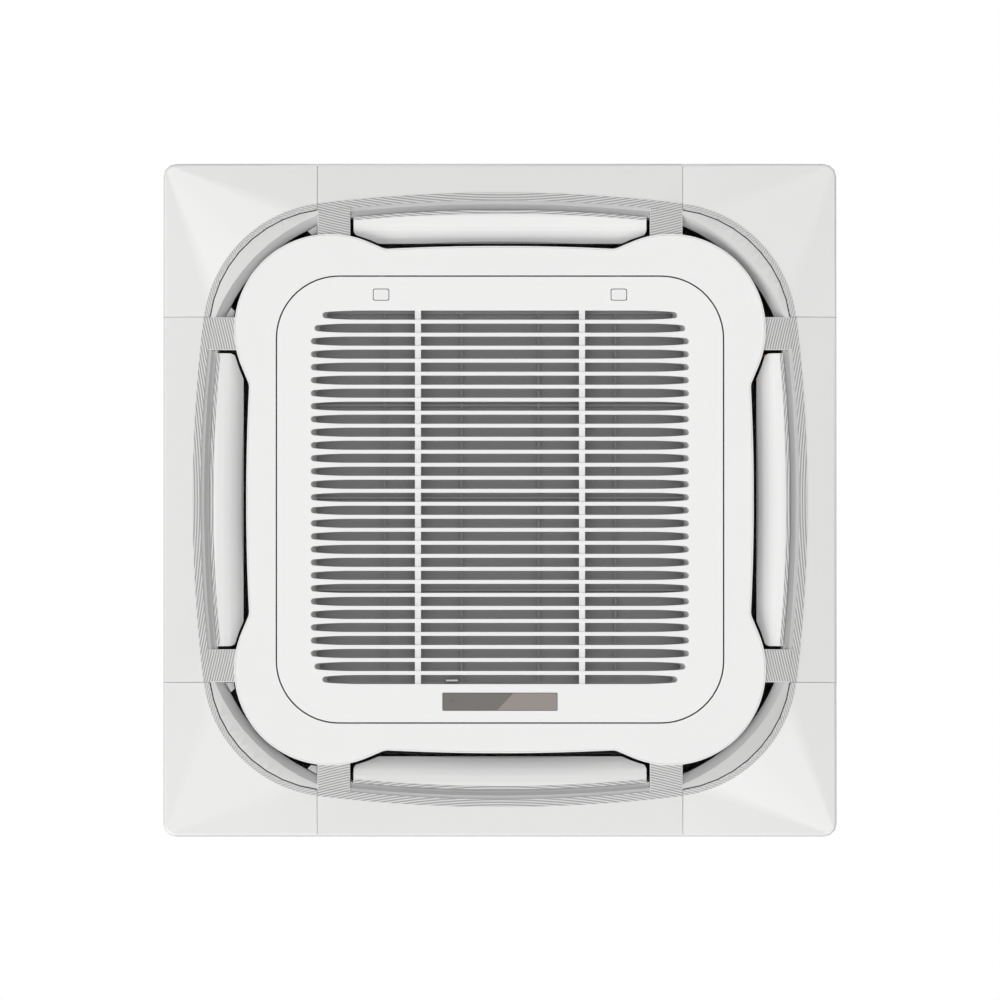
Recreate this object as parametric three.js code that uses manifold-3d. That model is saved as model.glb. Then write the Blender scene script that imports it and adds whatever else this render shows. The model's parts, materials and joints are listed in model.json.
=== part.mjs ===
// Four-way ceiling cassette air conditioner with a 950 mm face panel, in millimetres, +Z up.
// The origin is the middle of the ceiling's underside: the panel hangs below z = 0, the cabinet stands above it.
// +Y is the side with the display window and the grille hinge, -Y the side with the two latches.

import * as THREE from "three";
import { mergeVertices } from "three/addons/utils/BufferGeometryUtils.js";
import Module from "manifold-3d";

const wasm = await Module();
wasm.setup();

// ---------------------------------------------------------------- driving dimensions

const PANEL_SIDE = 950;
const PANEL_CORNER_R = 18;
const EDGE_DROP = 26; // how far the panel's outer edge hangs below the ceiling
const EDGE_R = 4;
const FACE_SLOPE = 0.1; // the outer face falls towards the middle
const FACE_DROP = 39; // lowest level: the inner ring and the grille
const SKIN = 3;
const COVER_WALL = 2.2;
const GAP = 0.3; // running and touching clearance

const BAND_WIDTH = 41.2; // plain outer band at mid side
const RIB_BAND_WIDTH = 11;
const LEDGE_WIDTH = 5;
const LEDGE_STEP = 1.5;
const OUTLET_BOW = 9.955; // the outlet ring's sides fall back by this much at a vane's end
const OUTLET_LEAN = 6; // the outlets' outer walls lean inwards as they rise
const CORNER_LEAN = 12;
const DUCT_TOP = 4;

const COVER_LENGTH = 217.4; // from the panel's side to a corner cover's seam
const BRIDGE_WIDTH = 46.1;
const COVER_ARC_INSET = 240.4;
const COVER_ARC_R = 175.3;
const SHELF_ARC_INSET = 316.3;
const SHELF_ARC_R = 262.7;

const VANE_OUTER_GAP = 8.4;
const VANE_WIDTH = 47.3;
const VANE_INNER_GAP = 4.5;
const VANE_END_GAP = 4.8;
const VANE_WALL = 3;
const VANE_LIP_TILT = 4; // degrees, at the outer lip
const VANE_INNER_TILT = 38; // degrees, at the inner edge
const VANE_LIP_WIDTH = 5;
const VANE_END_R = 10;
const PIVOT_INSET = 10.4; // vane axis, in from the lip's edge
const PIVOT_HEIGHT = 18.6; // vane axis, above the lip
const PIN_R = 2.5;
const MOTOR_SHAFT_R = 1.8;

const FACE_ARC_INSET = 235;
const FACE_ARC_R = 134.8;
const NOTCH_BOW_R = 3200;
const NOTCH_SLOPE = 23; // degrees, of the notch's ends
const FACE_PLATE = 2.7;
const FACE_RING_WIDTH = 42.1;
const WELL_INSET = 4; // the frame's inner duct wall stands in under the face ring's edge

const GRILLE_GAP = 1.8;
const GRILLE_CORNER_R = 88;
const GRILLE_PLATE = 3;
const GRILLE_DEPTH = 13;
const SLOT_PITCH = 18.375;
const SLOT_HEIGHT = 12.9;
const SLOT_TIP_HEIGHT = 8.6;
const SLOT_TAPER = 56;
const SLOT_END_SLOPE = 7.8;
const LATCH_MARGIN = 55.1; // grille edge to the first slot's middle
const DISPLAY_MARGIN = 61.4; // last slot's middle to the grille edge
const SIDE_MARGIN = 48.3;
const END_SLOT_CUT = [16.4, 5.1]; // the outermost slots are shorter at each end
const BACK_RIB_X = 115.8;
const BACK_RIB_WIDTH = 8.6;
const BACK_RIB_DEPTH = 3;

const LATCH_X = 167.8;
const LATCH_INSET = 26.1; // from the grille's edge to the latch's middle
const LATCH_WINDOW = [24, 17.5];
const LATCH_BUTTON = [21.2, 15.2];
const LATCH_TRAVEL = 3.5;
const DISPLAY_WINDOW = [161.6, 24.7];
const DISPLAY_INSET = 30;
const HINGE_X = 200;
const HINGE_OUT = 15; // hinge axis beyond the grille's edge, behind the face ring
const HINGE_RISE = 6.2; // hinge axis above the face
const HINGE_PIN_R = 1.3;
const HINGE_EYE_R = 3.1;
const HINGE_ARM_WIDTH = 10;
const HINGE_ARM_RISE = 18; // top of the swan-necked arm above its axis

const PANEL_OVERLAP = 55; // the panel reaches this far past the cabinet
const CABINET_HEIGHT = 245;
const CABINET_BASE = 12; // underside of the cabinet above the ceiling line
const CABINET_CUT = 160;
const STEEL = 1.2;
const LINER = 8.5;
const PAN_DEPTH = 36.5;
const PAN_TROUGH = 20;
const COIL_CLEARANCE = 52.6; // notch edge to the coil's outer face
const COIL_DEPTH = 40;
const COIL_CORNER_R = 90;
const COIL_FINS = 6; // fin groups on each side
const FAN_CLEARANCE = 30;
const FAN_BLADES = 7;
const FAN_EYE_INSET = 57;
const BELL_GAP = 4.5;
const SHAFT_R = 6;

const BRACKET_PITCH = [780, 680];
const ROD_SLOT = [12, 26];
const BRACKET_RISE = 120; // underside of the suspension ear above the ceiling line
const PANEL_SCREW_OUT = 45.3; // from the cabinet's cut corner to the panel screw
const PANEL_SCREW_R = 3;
const GAS_PIPE_R = 7.94;
const LIQUID_PIPE_R = 4.76;
const DRAIN_PIPE_R = 16;

// ---------------------------------------------------------------- places that follow from them

const HALF = PANEL_SIDE / 2;
const SEAM = HALF - COVER_LENGTH;
const BRIDGE_IN = SEAM - BRIDGE_WIDTH;
const RING_EDGE = HALF - BAND_WIDTH;
const LEDGE_EDGE = RING_EDGE - RIB_BAND_WIDTH;
const WALL_EDGE = LEDGE_EDGE - LEDGE_WIDTH;
const VANE_OUTER = WALL_EDGE - VANE_OUTER_GAP;
const VANE_INNER = VANE_OUTER - VANE_WIDTH;
const VANE_HALF = BRIDGE_IN - VANE_END_GAP;
const OUTLET_BOW_R = VANE_HALF ** 2 / (2 * OUTLET_BOW);
const NOTCH_EDGE = VANE_INNER - VANE_INNER_GAP;
const GRILLE_HALF = NOTCH_EDGE - FACE_RING_WIDTH;
const FACE_Z = -FACE_DROP;
const PLATE_TOP = FACE_Z + FACE_PLATE;
const FLANGE_Z = PLATE_TOP + GAP;
const FLANGE_TOP = FLANGE_Z + SKIN;
const PIVOT_Y = VANE_OUTER - PIVOT_INSET;
const LIP_Z = faceHeight(0, VANE_OUTER);
const PIVOT_Z = LIP_Z + PIVOT_HEIGHT;
const HINGE_Y = GRILLE_HALF + HINGE_OUT;
const HINGE_Z = FACE_Z + HINGE_RISE;
const WELL_HALF = GRILLE_HALF + GRILLE_GAP;
const WELL_R = GRILLE_CORNER_R + GRILLE_GAP;
const WELL_RISE = 15; // height of the face ring's return wall
const GRILLE_TOP = FACE_Z + GRILLE_DEPTH;
const CABINET_HALF = HALF - PANEL_OVERLAP;
const CABINET_TOP = CABINET_BASE + CABINET_HEIGHT;
const PAN_BASE = CABINET_BASE + STEEL + GAP;
const PAN_TOP = PAN_BASE + PAN_DEPTH;
const LINER_HALF = CABINET_HALF - STEEL - GAP;
const LINER_TOP = CABINET_TOP - GAP;
const COIL_OUT = NOTCH_EDGE - COIL_CLEARANCE;
const COIL_IN = COIL_OUT - COIL_DEPTH;
const COIL_BASE = PAN_TOP - PAN_TROUGH + GAP;
const COIL_TOP = LINER_TOP - LINER - GAP;
const FAN_R = COIL_IN - FAN_CLEARANCE;
const EYE_R = FAN_R - FAN_EYE_INSET;
const THROAT_R = EYE_R - BELL_GAP - 2.5;
const MOUTH_R = FAN_R - 10;
const FAN_BACK = CABINET_TOP - 42;
const SHROUD_BASE = PAN_TOP + 10;
const DEG = Math.PI / 180;

// ---------------------------------------------------------------- materials

const paint = (color, roughness, metalness = 0) =>
  new THREE.MeshStandardMaterial({ color, roughness, metalness });
const FACE_WHITE = paint(0xe9e9e8, 0.35);
const INNER_WHITE = paint(0xf1f1f0, 0.32);
const VANE_WHITE = paint(0xe6e6e5, 0.35);
const LATCH_WHITE = paint(0xebebea, 0.4);
const DARK_PLASTIC = paint(0x4a4b4d, 0.55);
const SMOKED = paint(0x6f6a66, 0.15);
const BOARD_GREEN = paint(0x2f5a3c, 0.6);
const FOAM = paint(0xe4e5e2, 0.95);
const DARK_FOAM = paint(0x3b3d3f, 0.98);
const GALVANISED = paint(0xa9adb0, 0.45, 0.85);
const ALUMINIUM = paint(0xc9cccf, 0.4, 0.9);
const COPPER = paint(0xb87550, 0.35, 0.95);
const BRASS = paint(0xc2a35a, 0.35, 0.9);
const RUBBER = paint(0x26272a, 0.9);
const ZINC = paint(0xb9bcc0, 0.35, 0.9);
const FAN_GREY = paint(0x55585c, 0.5);
const NET_GREY = paint(0x6e6c74, 0.8);

// ---------------------------------------------------------------- solids from three.js geometry

// A closed geometry as a solid: only positions are kept, and shared corners are merged.
function solid(geometry) {
  const bare = geometry.clone();
  bare.deleteAttribute("normal");
  bare.deleteAttribute("uv");
  const merged = mergeVertices(bare, 1e-4);
  return new wasm.Manifold(
    new wasm.Mesh({
      numProp: 3,
      vertProperties: new Float32Array(merged.attributes.position.array),
      triVerts: new Uint32Array(merged.index.array),
    })
  );
}

function geometryOf(body) {
  const mesh = body.getMesh();
  const count = mesh.vertProperties.length / mesh.numProp;
  const positions = new Float32Array(count * 3);
  for (let i = 0; i < count; i++) {
    for (let axis = 0; axis < 3; axis++) {
      positions[3 * i + axis] = mesh.vertProperties[mesh.numProp * i + axis];
    }
  }
  const geometry = new THREE.BufferGeometry();
  geometry.setAttribute("position", new THREE.BufferAttribute(positions, 3));
  geometry.setIndex(new THREE.BufferAttribute(new Uint32Array(mesh.triVerts), 1));
  geometry.computeVertexNormals();
  return geometry;
}

const join = (first, ...rest) => rest.reduce((body, next) => body.add(next), first);
const cut = (first, ...rest) => rest.reduce((body, next) => body.subtract(next), first);

function meshOf(name, body, material) {
  const mesh = new THREE.Mesh(body.isBufferGeometry ? body : geometryOf(body), material);
  mesh.name = name;
  return mesh;
}

// A flat outline, anticlockwise from above, raised from z0 to z1.
function prism(outline, z0, z1, holes = []) {
  const shape = new THREE.Shape(outline);
  shape.holes = holes.map((hole) => new THREE.Path(hole));
  const raised = new THREE.ExtrudeGeometry(shape, { depth: z1 - z0, bevelEnabled: false });
  return solid(raised.translate(0, 0, z0));
}

function box(x0, x1, y0, y1, z0, z1) {
  const block = new THREE.BoxGeometry(x1 - x0, y1 - y0, z1 - z0);
  return solid(block.translate((x0 + x1) / 2, (y0 + y1) / 2, (z0 + z1) / 2));
}

// A profile of [radius, z] pairs, closed on itself, turned round the Z axis.
function turned(profile, segments = 32) {
  const points = [...profile, profile[0]].map(([r, z]) => new THREE.Vector2(r, z));
  const lathed = new THREE.LatheGeometry(points, segments);
  const body = solid(lathed.rotateX(Math.PI / 2));
  return body;
}

const disc = (r, z0, z1, segments = 16) =>
  solid(new THREE.CylinderGeometry(r, r, z1 - z0, segments).rotateX(Math.PI / 2)).translate([
    0,
    0,
    (z0 + z1) / 2,
  ]);

// A round bar along X at (y, z).
const barX = (r, x0, x1, y, z, segments = 12) =>
  disc(r, x0, x1, segments).rotate([0, 90, 0]).translate([0, y, z]);

// Joins two outlines of equal count, the lower at z0 (a level, or a function of the point) and the upper at z1.
function loft(lower, upper, z0, z1) {
  const n = lower.length;
  const level = typeof z0 === "function" ? z0 : () => z0;
  const points = [
    ...lower.map((p) => new THREE.Vector3(p.x, p.y, level(p))),
    ...upper.map((p) => new THREE.Vector3(p.x, p.y, z1)),
  ];
  const faces = [];
  for (const [a, b, c] of THREE.ShapeUtils.triangulateShape(lower, [])) faces.push(a, c, b);
  for (const [a, b, c] of THREE.ShapeUtils.triangulateShape(upper, [])) faces.push(a + n, b + n, c + n);
  bandFaces(faces, 0, n, n);
  return solid(indexed(points, faces));
}

function bandFaces(faces, lower, upper, count) {
  for (let i = 0; i < count; i++) {
    const j = (i + 1) % count;
    faces.push(lower + i, lower + j, upper + j, lower + i, upper + j, upper + i);
  }
}

function indexed(points, faces) {
  const geometry = new THREE.BufferGeometry().setFromPoints(points);
  geometry.setIndex(faces);
  return geometry;
}

// ---------------------------------------------------------------- outlines in plan

const at = (x, y) => new THREE.Vector2(x, y);

const quarterTurn = (points, k) =>
  points.map(({ x, y }) => [at(x, y), at(-y, x), at(-x, -y), at(y, -x)][k % 4]);

const allQuarters = (points) => [0, 1, 2, 3].flatMap((k) => quarterTurn(points, k));

const arc = (cx, cy, r, from, to, steps) =>
  Array.from({ length: steps + 1 }, (_, i) => {
    const a = from + ((to - from) * i) / steps;
    return at(cx + r * Math.cos(a), cy + r * Math.sin(a));
  });

const roundedSquare = (half, r, steps = 5) =>
  allQuarters(arc(half - r, half - r, r, 0, Math.PI / 2, steps));

const rectangle = (width, depth, x = 0, y = 0) => [
  at(x - width / 2, y - depth / 2),
  at(x + width / 2, y - depth / 2),
  at(x + width / 2, y + depth / 2),
  at(x - width / 2, y + depth / 2),
];

const circle = (r, x = 0, y = 0, steps = 24) => arc(x, y, r, 0, 2 * Math.PI, steps).slice(0, -1);

// A slot with round ends between two points.
function capsule(a, b, r, steps = 6) {
  const turn = Math.atan2(b.y - a.y, b.x - a.x);
  return [
    ...arc(b.x, b.y, r, turn - Math.PI / 2, turn + Math.PI / 2, steps),
    ...arc(a.x, a.y, r, turn + Math.PI / 2, turn + 1.5 * Math.PI, steps),
  ];
}

const octagon = (half, corner) => allQuarters([at(half, half - corner), at(half - corner, half)]);

// The cabinet's plan, drawn in by an even wall.
const cabinetPlan = (inset) =>
  octagon(CABINET_HALF - inset, CABINET_CUT - inset * (2 - Math.SQRT2));

// The outer face's level: planes on the sides, easing round the corners past the cover seams.
function faceHeight(x, y) {
  const half = PANEL_SIDE / 2;
  const seam = half - COVER_LENGTH;
  const [a, b] = [Math.abs(x), Math.abs(y)];
  const round = Math.hypot(Math.max(a - seam, 0) ** 2, Math.max(b - seam, 0) ** 2) ** 0.5;
  const reach = Math.max(a, b) > seam ? seam + round : Math.max(a, b);
  return -EDGE_DROP - FACE_SLOPE * (half - reach);
}

// How far a bowed side has fallen back at x.
const bow = (x, radius) => (x * x) / (2 * radius);

// Outline of the face ring and of the duct wall behind it: a round corner between two bowed notches.
function facePlan(inset) {
  const centre = HALF - FACE_ARC_INSET;
  const r = FACE_ARC_R - inset;
  const edge = (x) => NOTCH_EDGE - inset - bow(x, NOTCH_BOW_R);
  const tilt = NOTCH_SLOPE * DEG;
  const rise = Math.tan(tilt);
  const drop = NOTCH_EDGE - inset - centre - r / Math.cos(tilt) + centre * rise;
  const endX = NOTCH_BOW_R * (Math.sqrt(rise * rise + (2 * drop) / NOTCH_BOW_R) - rise);
  const fillet = 3.5;
  const upper = [
    at(endX + fillet * Math.cos(tilt), edge(endX) + fillet * Math.sin(tilt)),
    at(endX - fillet, edge(endX - fillet)),
    at(endX / 2, edge(endX / 2)),
  ];
  const right = upper.map(({ x, y }) => at(y, x)).reverse();
  const corner = arc(centre, centre, r, -tilt, Math.PI / 2 + tilt, 7);
  return allQuarters([at(edge(0), 0), ...right, ...corner, ...upper]);
}

// A side outlet on the +Y side: straight at the back, bowed at the outer edge.
function outletPlan(edge, half, back) {
  const steps = 6;
  const outer = Array.from({ length: steps + 1 }, (_, i) => {
    const x = half - (2 * half * i) / steps;
    return at(x, edge - bow(x, OUTLET_BOW_R));
  });
  return [at(-half, back), at(half, back), ...outer];
}

// A corner outlet in the +X+Y corner: the shelf's arc outside, open towards the middle.
function cornerPlan(grow, end, back) {
  const centre = HALF - SHELF_ARC_INSET;
  const r = SHELF_ARC_R + grow;
  const a = Math.asin((end - centre) / r);
  return [at(back, end), ...arc(centre, centre, r, a, Math.PI / 2 - a, 8), at(end, back)];
}

// The +X+Y corner cover: everything outside the seams and the ribbed band's inner arc.
function coverPlan(gap) {
  const centre = HALF - COVER_ARC_INSET;
  const r = COVER_ARC_R + gap;
  const edge = SEAM + gap;
  const far = HALF + 50;
  const a = Math.asin((edge - centre) / r);
  return [at(far, edge), at(far, far), at(edge, far), ...arc(centre, centre, r, Math.PI / 2 - a, a, 9)];
}

// ---------------------------------------------------------------- the panel's outer form

// The whole outer form as a solid, drawn in by an even wall: sloping face, rounded edge, upright sides.
function pillow(inset, top, fine = true) {
  const r = Math.max(EDGE_R - inset, 1);
  const ringPlan = (drawn) => {
    const side = HALF - inset - drawn;
    const radius = Math.max(PANEL_CORNER_R - inset - drawn, 1);
    const run = side - radius - SEAM;
    const straight = (fine ? [0, 0.45, 0.75] : [0, 0.6]).map((part) => at(side, SEAM + part * run));
    const round = arc(side - radius, side - radius, radius, 0, Math.PI / 2, fine ? 3 : 1);
    const back = straight.map(({ x, y }) => at(y, x)).reverse();
    return allQuarters([...straight, ...round, ...back]);
  };
  const level = (p) => faceHeight(p.x, p.y) + inset;
  const points = [];
  const faces = [];
  const addRing = (plan, height) => {
    points.push(...plan.map((p) => new THREE.Vector3(p.x, p.y, height(p))));
    return points.length - plan.length;
  };
  const count = ringPlan(0).length;
  let upper = addRing(ringPlan(0), () => top);
  for (const [a, b, c] of THREE.ShapeUtils.triangulateShape(ringPlan(0), [])) faces.push(a, b, c);
  for (const turn of fine ? [0, 45, 90] : [0, 90]) {
    const drawn = r * (1 - Math.cos(turn * DEG));
    const raised = r * (1 - Math.sin(turn * DEG));
    const lower = addRing(ringPlan(drawn), (p) => level(p) + raised);
    bandFaces(faces, lower, upper, count);
    upper = lower;
  }
  const apexes = allQuarters([at(SEAM, SEAM)]);
  const apex = addRing(apexes, level);
  const each = count / 4;
  for (let k = 0; k < 4; k++) {
    const first = upper + k * each;
    const next = upper + ((k + 1) % 4) * each;
    const other = apex + ((k + 1) % 4);
    for (let i = 0; i < each - 1; i++) faces.push(apex + k, first + i + 1, first + i);
    faces.push(apex + k, other, next, apex + k, next, first + each - 1);
  }
  faces.push(apex, apex + 2, apex + 1, apex, apex + 3, apex + 2);
  return solid(indexed(points, faces));
}

const skinBetween = (outer, inner, fine) => cut(pillow(outer, 0, fine), pillow(inner, 50, fine));

const onAllSides = (body) =>
  join(...[0, 1, 2, 3].map((k) => body.rotate([0, 0, 90 * k])));

// ---------------------------------------------------------------- panel frame

// A duct wall that stands in the skin over the outline's edge: an open loop of even thickness.
function ductWall(outer, inner, outerTop, innerTop) {
  const loop = (out, back) => [...out, ...[...back].reverse()];
  const foot = (p) => faceHeight(p.x, p.y) + LEDGE_STEP + 0.9;
  return loft(loop(outer, inner), loop(outerTop, innerTop), foot, DUCT_TOP);
}

function sideDuct() {
  const path = (edge, half) => {
    const plan = outletPlan(edge, half, BRIDGE_ROOT - 2.3);
    return [...plan.slice(1), plan[0]];
  };
  const top = WALL_EDGE - OUTLET_LEAN;
  return ductWall(
    path(WALL_EDGE + SKIN, BRIDGE_IN + SKIN),
    path(WALL_EDGE, BRIDGE_IN),
    path(top + SKIN, BRIDGE_IN + SKIN),
    path(top, BRIDGE_IN)
  );
}

function cornerDuct() {
  const path = (grow, end) => cornerPlan(grow, end, BRIDGE_ROOT);
  return ductWall(
    path(SKIN, SEAM - SKIN),
    path(0, SEAM),
    path(SKIN - CORNER_LEAN, SEAM - SKIN),
    path(-CORNER_LEAN, SEAM)
  );
}

// Where the bridges meet the inner duct wall.
const BRIDGE_ROOT = HALF - FACE_ARC_INSET + FACE_ARC_R - WELL_INSET - 2.5;

const bossPlace = () => {
  const reach = (2 * CABINET_HALF - CABINET_CUT) / 2 + PANEL_SCREW_OUT / Math.SQRT2;
  return [reach, reach];
};

function frameFace() {
  const slot = prism(outletPlan(LEDGE_EDGE, BRIDGE_IN, NOTCH_EDGE - 20), -90, 50);
  const corner = prism(cornerPlan(0, SEAM, BRIDGE_ROOT - 8), -90, 50);
  const cover = prism(coverPlan(0), -90, 50);
  const middle = join(prism(facePlan(-GAP), -90, FLANGE_Z), prism(facePlan(0.5), FLANGE_Z - 1, 50));
  const openings = onAllSides(join(slot, corner, cover));
  return cut(skinBetween(0, SKIN), openings, middle);
}

function frameCorners() {
  const floor = prism(coverPlan(-4), -90, 50);
  const depth = COVER_WALL + 2 * GAP;
  const skin = skinBetween(depth, depth + SKIN, false);
  return skin.intersect(onAllSides(floor));
}

function frameLedges() {
  const outer = prism(outletPlan(LEDGE_EDGE + 2, BRIDGE_IN + 1, NOTCH_EDGE), -90, 50);
  const inner = prism(outletPlan(WALL_EDGE, BRIDGE_IN + 5, NOTCH_EDGE - 5), -90, 50);
  return skinBetween(LEDGE_STEP, LEDGE_STEP + SKIN, false).intersect(onAllSides(cut(outer, inner)));
}

function frameDucts() {
  const inner = prism(facePlan(WELL_INSET), FLANGE_Z, DUCT_TOP, [facePlan(WELL_INSET + SKIN)]);
  return join(onAllSides(join(sideDuct(), cornerDuct())), inner);
}

function frameWell() {
  const flange = prism(facePlan(1), FLANGE_Z, FLANGE_TOP, [roundedSquare(WELL_HALF + SKIN, WELL_R + SKIN)]);
  const outer = roundedSquare(WELL_HALF + 2 * SKIN, WELL_R + 2 * SKIN);
  const wall = prism(outer, FLANGE_Z, WELL_WALL_TOP, [roundedSquare(WELL_HALF + SKIN, WELL_R + SKIN)]);
  const places = [-HINGE_X, HINGE_X];
  const slots = places.map((x) => hingeSlot(x, FLANGE_Z - 1));
  return cut(join(flange, wall, ...places.map(hingeCheeks)), ...slots, ...places.map(hingeBore));
}

const WELL_WALL_TOP = HINGE_Z + HINGE_ARM_RISE + 6;
const HINGE_CHEEK = 4;
const HINGE_SLOT_HALF = HINGE_ARM_WIDTH / 2 + 0.6;

// Two cheeks on the flange carry the hinge pin, with the grille's arm between them.
function hingeCheeks(x) {
  const reach = HINGE_SLOT_HALF + HINGE_CHEEK;
  return box(x - reach, x + reach, HINGE_Y - 8, HINGE_Y + 4, FLANGE_Z, HINGE_Z + 4);
}

function hingeBore(x) {
  const reach = HINGE_SLOT_HALF + HINGE_CHEEK;
  const bore = barX(HINGE_PIN_R + GAP, x - reach - 2, x + reach + 1, HINGE_Y, HINGE_Z, 10);
  const headRoom = box(x + reach, x + reach + 2.2, HINGE_Y - 3.3, HINGE_Y + 3.3, FLANGE_Z - 1, FLANGE_TOP + 1);
  return join(bore, headRoom);
}

// The way of the grille's arm through a wall round the grille, from a level up to the arm's top.
const hingeSlot = (x, z0) =>
  box(
    x - HINGE_SLOT_HALF,
    x + HINGE_SLOT_HALF,
    WELL_HALF - 1,
    HINGE_Y + HINGE_EYE_R + 0.8,
    z0,
    HINGE_Z + HINGE_ARM_RISE + 1
  );

// Upright ribs on the back between the panel's edge and the duct walls, and screw bosses in the corners.
function frameRibs() {
  const ribs = [-BRIDGE_IN / 2, BRIDGE_IN / 2].map((x) =>
    box(x - 1, x + 1, WALL_EDGE - bow(x, OUTLET_BOW_R) + 0.5, HALF - 2, -40, -6)
  );
  const [bx, by] = bossPlace();
  const inward = box(-1, 1, -46, 0, -45, -8).rotate([0, 0, -45]).translate([bx, by, 0]);
  const web = join(...ribs, inward);
  return onAllSides(web).intersect(pillow(COVER_WALL + 1, 0, false));
}

const SCREW_HEAD_R = 7;
const BOSS_BASE = faceHeight(...bossPlace()) + COVER_WALL + 2; // within the pocket's floor
const SCREW_SEAT = -20; // the panel screws bear at this level

const bossOutside = () => disc(SCREW_HEAD_R + 4.5, BOSS_BASE, DUCT_TOP, 12).translate([...bossPlace(), 0]);

function bossInside() {
  const pit = disc(SCREW_HEAD_R + 1.5, -90, SCREW_SEAT, 12);
  const hole = disc(PANEL_SCREW_R + 0.5, -90, 50, 8);
  return join(pit, hole).translate([...bossPlace(), 0]);
}

// Bores for the vane bush at one end of each outlet and the motor's shaft at the other.
function vaneBores() {
  const bush = barX(BUSH_R + GAP, BRIDGE_IN - 2, BRIDGE_IN + SKIN + 2, PIVOT_Y, PIVOT_Z, 10);
  const shaft = barX(MOTOR_SHAFT_R + 1, -BRIDGE_IN - SKIN - 2, -BRIDGE_IN + 2, PIVOT_Y, PIVOT_Z, 8);
  return onAllSides(join(bush, shaft));
}

function panelFrame() {
  const shell = join(frameFace(), frameCorners(), frameLedges(), frameDucts(), frameWell(), frameRibs());
  return cut(join(shell, onAllSides(bossOutside())), onAllSides(bossInside()), vaneBores());
}

// ---------------------------------------------------------------- corner covers and face ring

function cornerCover() {
  const plan = prism(coverPlan(GAP), -90, 50);
  const shell = skinBetween(0, COVER_WALL).intersect(plan);
  return cut(shell, box(-HALF, HALF + 1, -HALF, HALF + 1, -GAP, 60));
}

const faceEdge = (lower, upper, z) =>
  join(loft(lower, upper, z, z + 1.2), prism(upper, z + 1.2, z + FACE_PLATE));

function faceRing() {
  const plate = faceEdge(facePlan(1.2), facePlan(0), FACE_Z);
  const wall = roundedSquare(WELL_HALF + SKIN - GAP, WELL_R + SKIN - GAP);
  const back = prism(wall, FACE_Z + 1, FACE_Z + WELL_RISE);
  const well = prism(roundedSquare(WELL_HALF, WELL_R), FACE_Z - 1, FACE_Z + WELL_RISE + 1);
  const slots = [-HINGE_X, HINGE_X].map((x) => hingeSlot(x, PLATE_TOP));
  return cut(join(plate, back), well, ...slots);
}

// ---------------------------------------------------------------- swing vanes, their bushes and motors

const BUSH_R = 5;
const BUSH_DEPTH = 5;
const HUB_R = 3.4;
const EAR_WALL = 3;
const LIP_STEP = 0.8; // the ribbed lip stands back by this much

// The curved section, [y, z] from the lip inwards, at a depth inside the lower surface.
function vaneCurve(depth) {
  const [t0, t1] = [-VANE_LIP_TILT * DEG, VANE_INNER_TILT * DEG];
  const radius = VANE_WIDTH / (Math.sin(t1) - Math.sin(t0));
  const [cy, cz] = [VANE_OUTER + radius * Math.sin(t0), LIP_Z + radius * Math.cos(t0)];
  const r = radius - depth;
  return Array.from({ length: 6 }, (_, i) => {
    const t = t0 + ((t1 - t0) * i) / 5;
    return [cy - r * Math.sin(t), cz - r * Math.cos(t)];
  });
}

// An outline of [y, z] pairs, run along X.
function alongX(pairs, x0, x1) {
  const body = prism(pairs.map(([y, z]) => at(y, z)), x0, x1);
  return body.rotate([90, 0, 90]);
}

function vanePlan(lip) {
  const inner = facePlan(-VANE_INNER_GAP).filter(
    ({ x, y }) => y > NOTCH_EDGE - 20 && Math.abs(x) < VANE_HALF - VANE_END_R
  );
  inner.sort((a, b) => a.x - b.x);
  const steps = 6;
  const outer = Array.from({ length: steps + 1 }, (_, i) => {
    const x = VANE_HALF - (2 * VANE_HALF * i) / steps;
    return at(x, VANE_OUTER - lip - bow(x, OUTLET_BOW_R));
  });
  const last = inner[inner.length - 1];
  const cornerY = last.y + (VANE_HALF - last.x) * 0.35;
  const round = arc(VANE_HALF - VANE_END_R, cornerY + VANE_END_R * 0.6, VANE_END_R, -50 * DEG, 0, 3);
  const roundLeft = round.map(({ x, y }) => at(-x, y)).reverse();
  return [...roundLeft, ...inner, ...round, ...outer];
}

function vane() {
  const skin = [...vaneCurve(0), ...vaneCurve(VANE_WALL).reverse()].reverse();
  const blade = alongX(skin, -VANE_HALF, VANE_HALF).intersect(prism(vanePlan(0), -60, 40));
  const strip = cut(
    prism(vanePlan(0), -60, LIP_Z + LIP_STEP),
    prism(vanePlan(VANE_LIP_WIDTH), -61, LIP_Z + 5)
  );
  const ears = [-VANE_HALF, VANE_HALF - EAR_WALL].map((x) => vaneEar(x));
  const web = alongX(webSection(), -VANE_HALF + 1, VANE_HALF - 1);
  const pin = barX(PIN_R, VANE_HALF - 1, BRIDGE_IN + BUSH_DEPTH, PIVOT_Y, PIVOT_Z, 10);
  const hub = barX(HUB_R, -BRIDGE_IN + 1.2, -VANE_HALF + 8, PIVOT_Y, PIVOT_Z, 10);
  const socket = barX(MOTOR_SHAFT_R + GAP, -BRIDGE_IN, -VANE_HALF + 5, PIVOT_Y, PIVOT_Z, 10);
  return cut(join(cut(blade, strip), web, ...ears, pin, hub), socket);
}

// A stiffening web on the back of the vane.
function webSection() {
  const [y, z] = vaneCurve(VANE_WALL - 0.5)[2];
  return [[y - 1, z], [y + 1, z], [y + 1, PIVOT_Z - 3], [y - 1, PIVOT_Z - 3]];
}

function vaneEar(x) {
  const back = vaneCurve(VANE_WALL - 1);
  const outline = [...back.slice(1, 4), [PIVOT_Y - 5, PIVOT_Z + 3.4], [PIVOT_Y + 4, PIVOT_Z + 2.6]];
  return alongX([...outline].reverse(), x, x + EAR_WALL);
}

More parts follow.
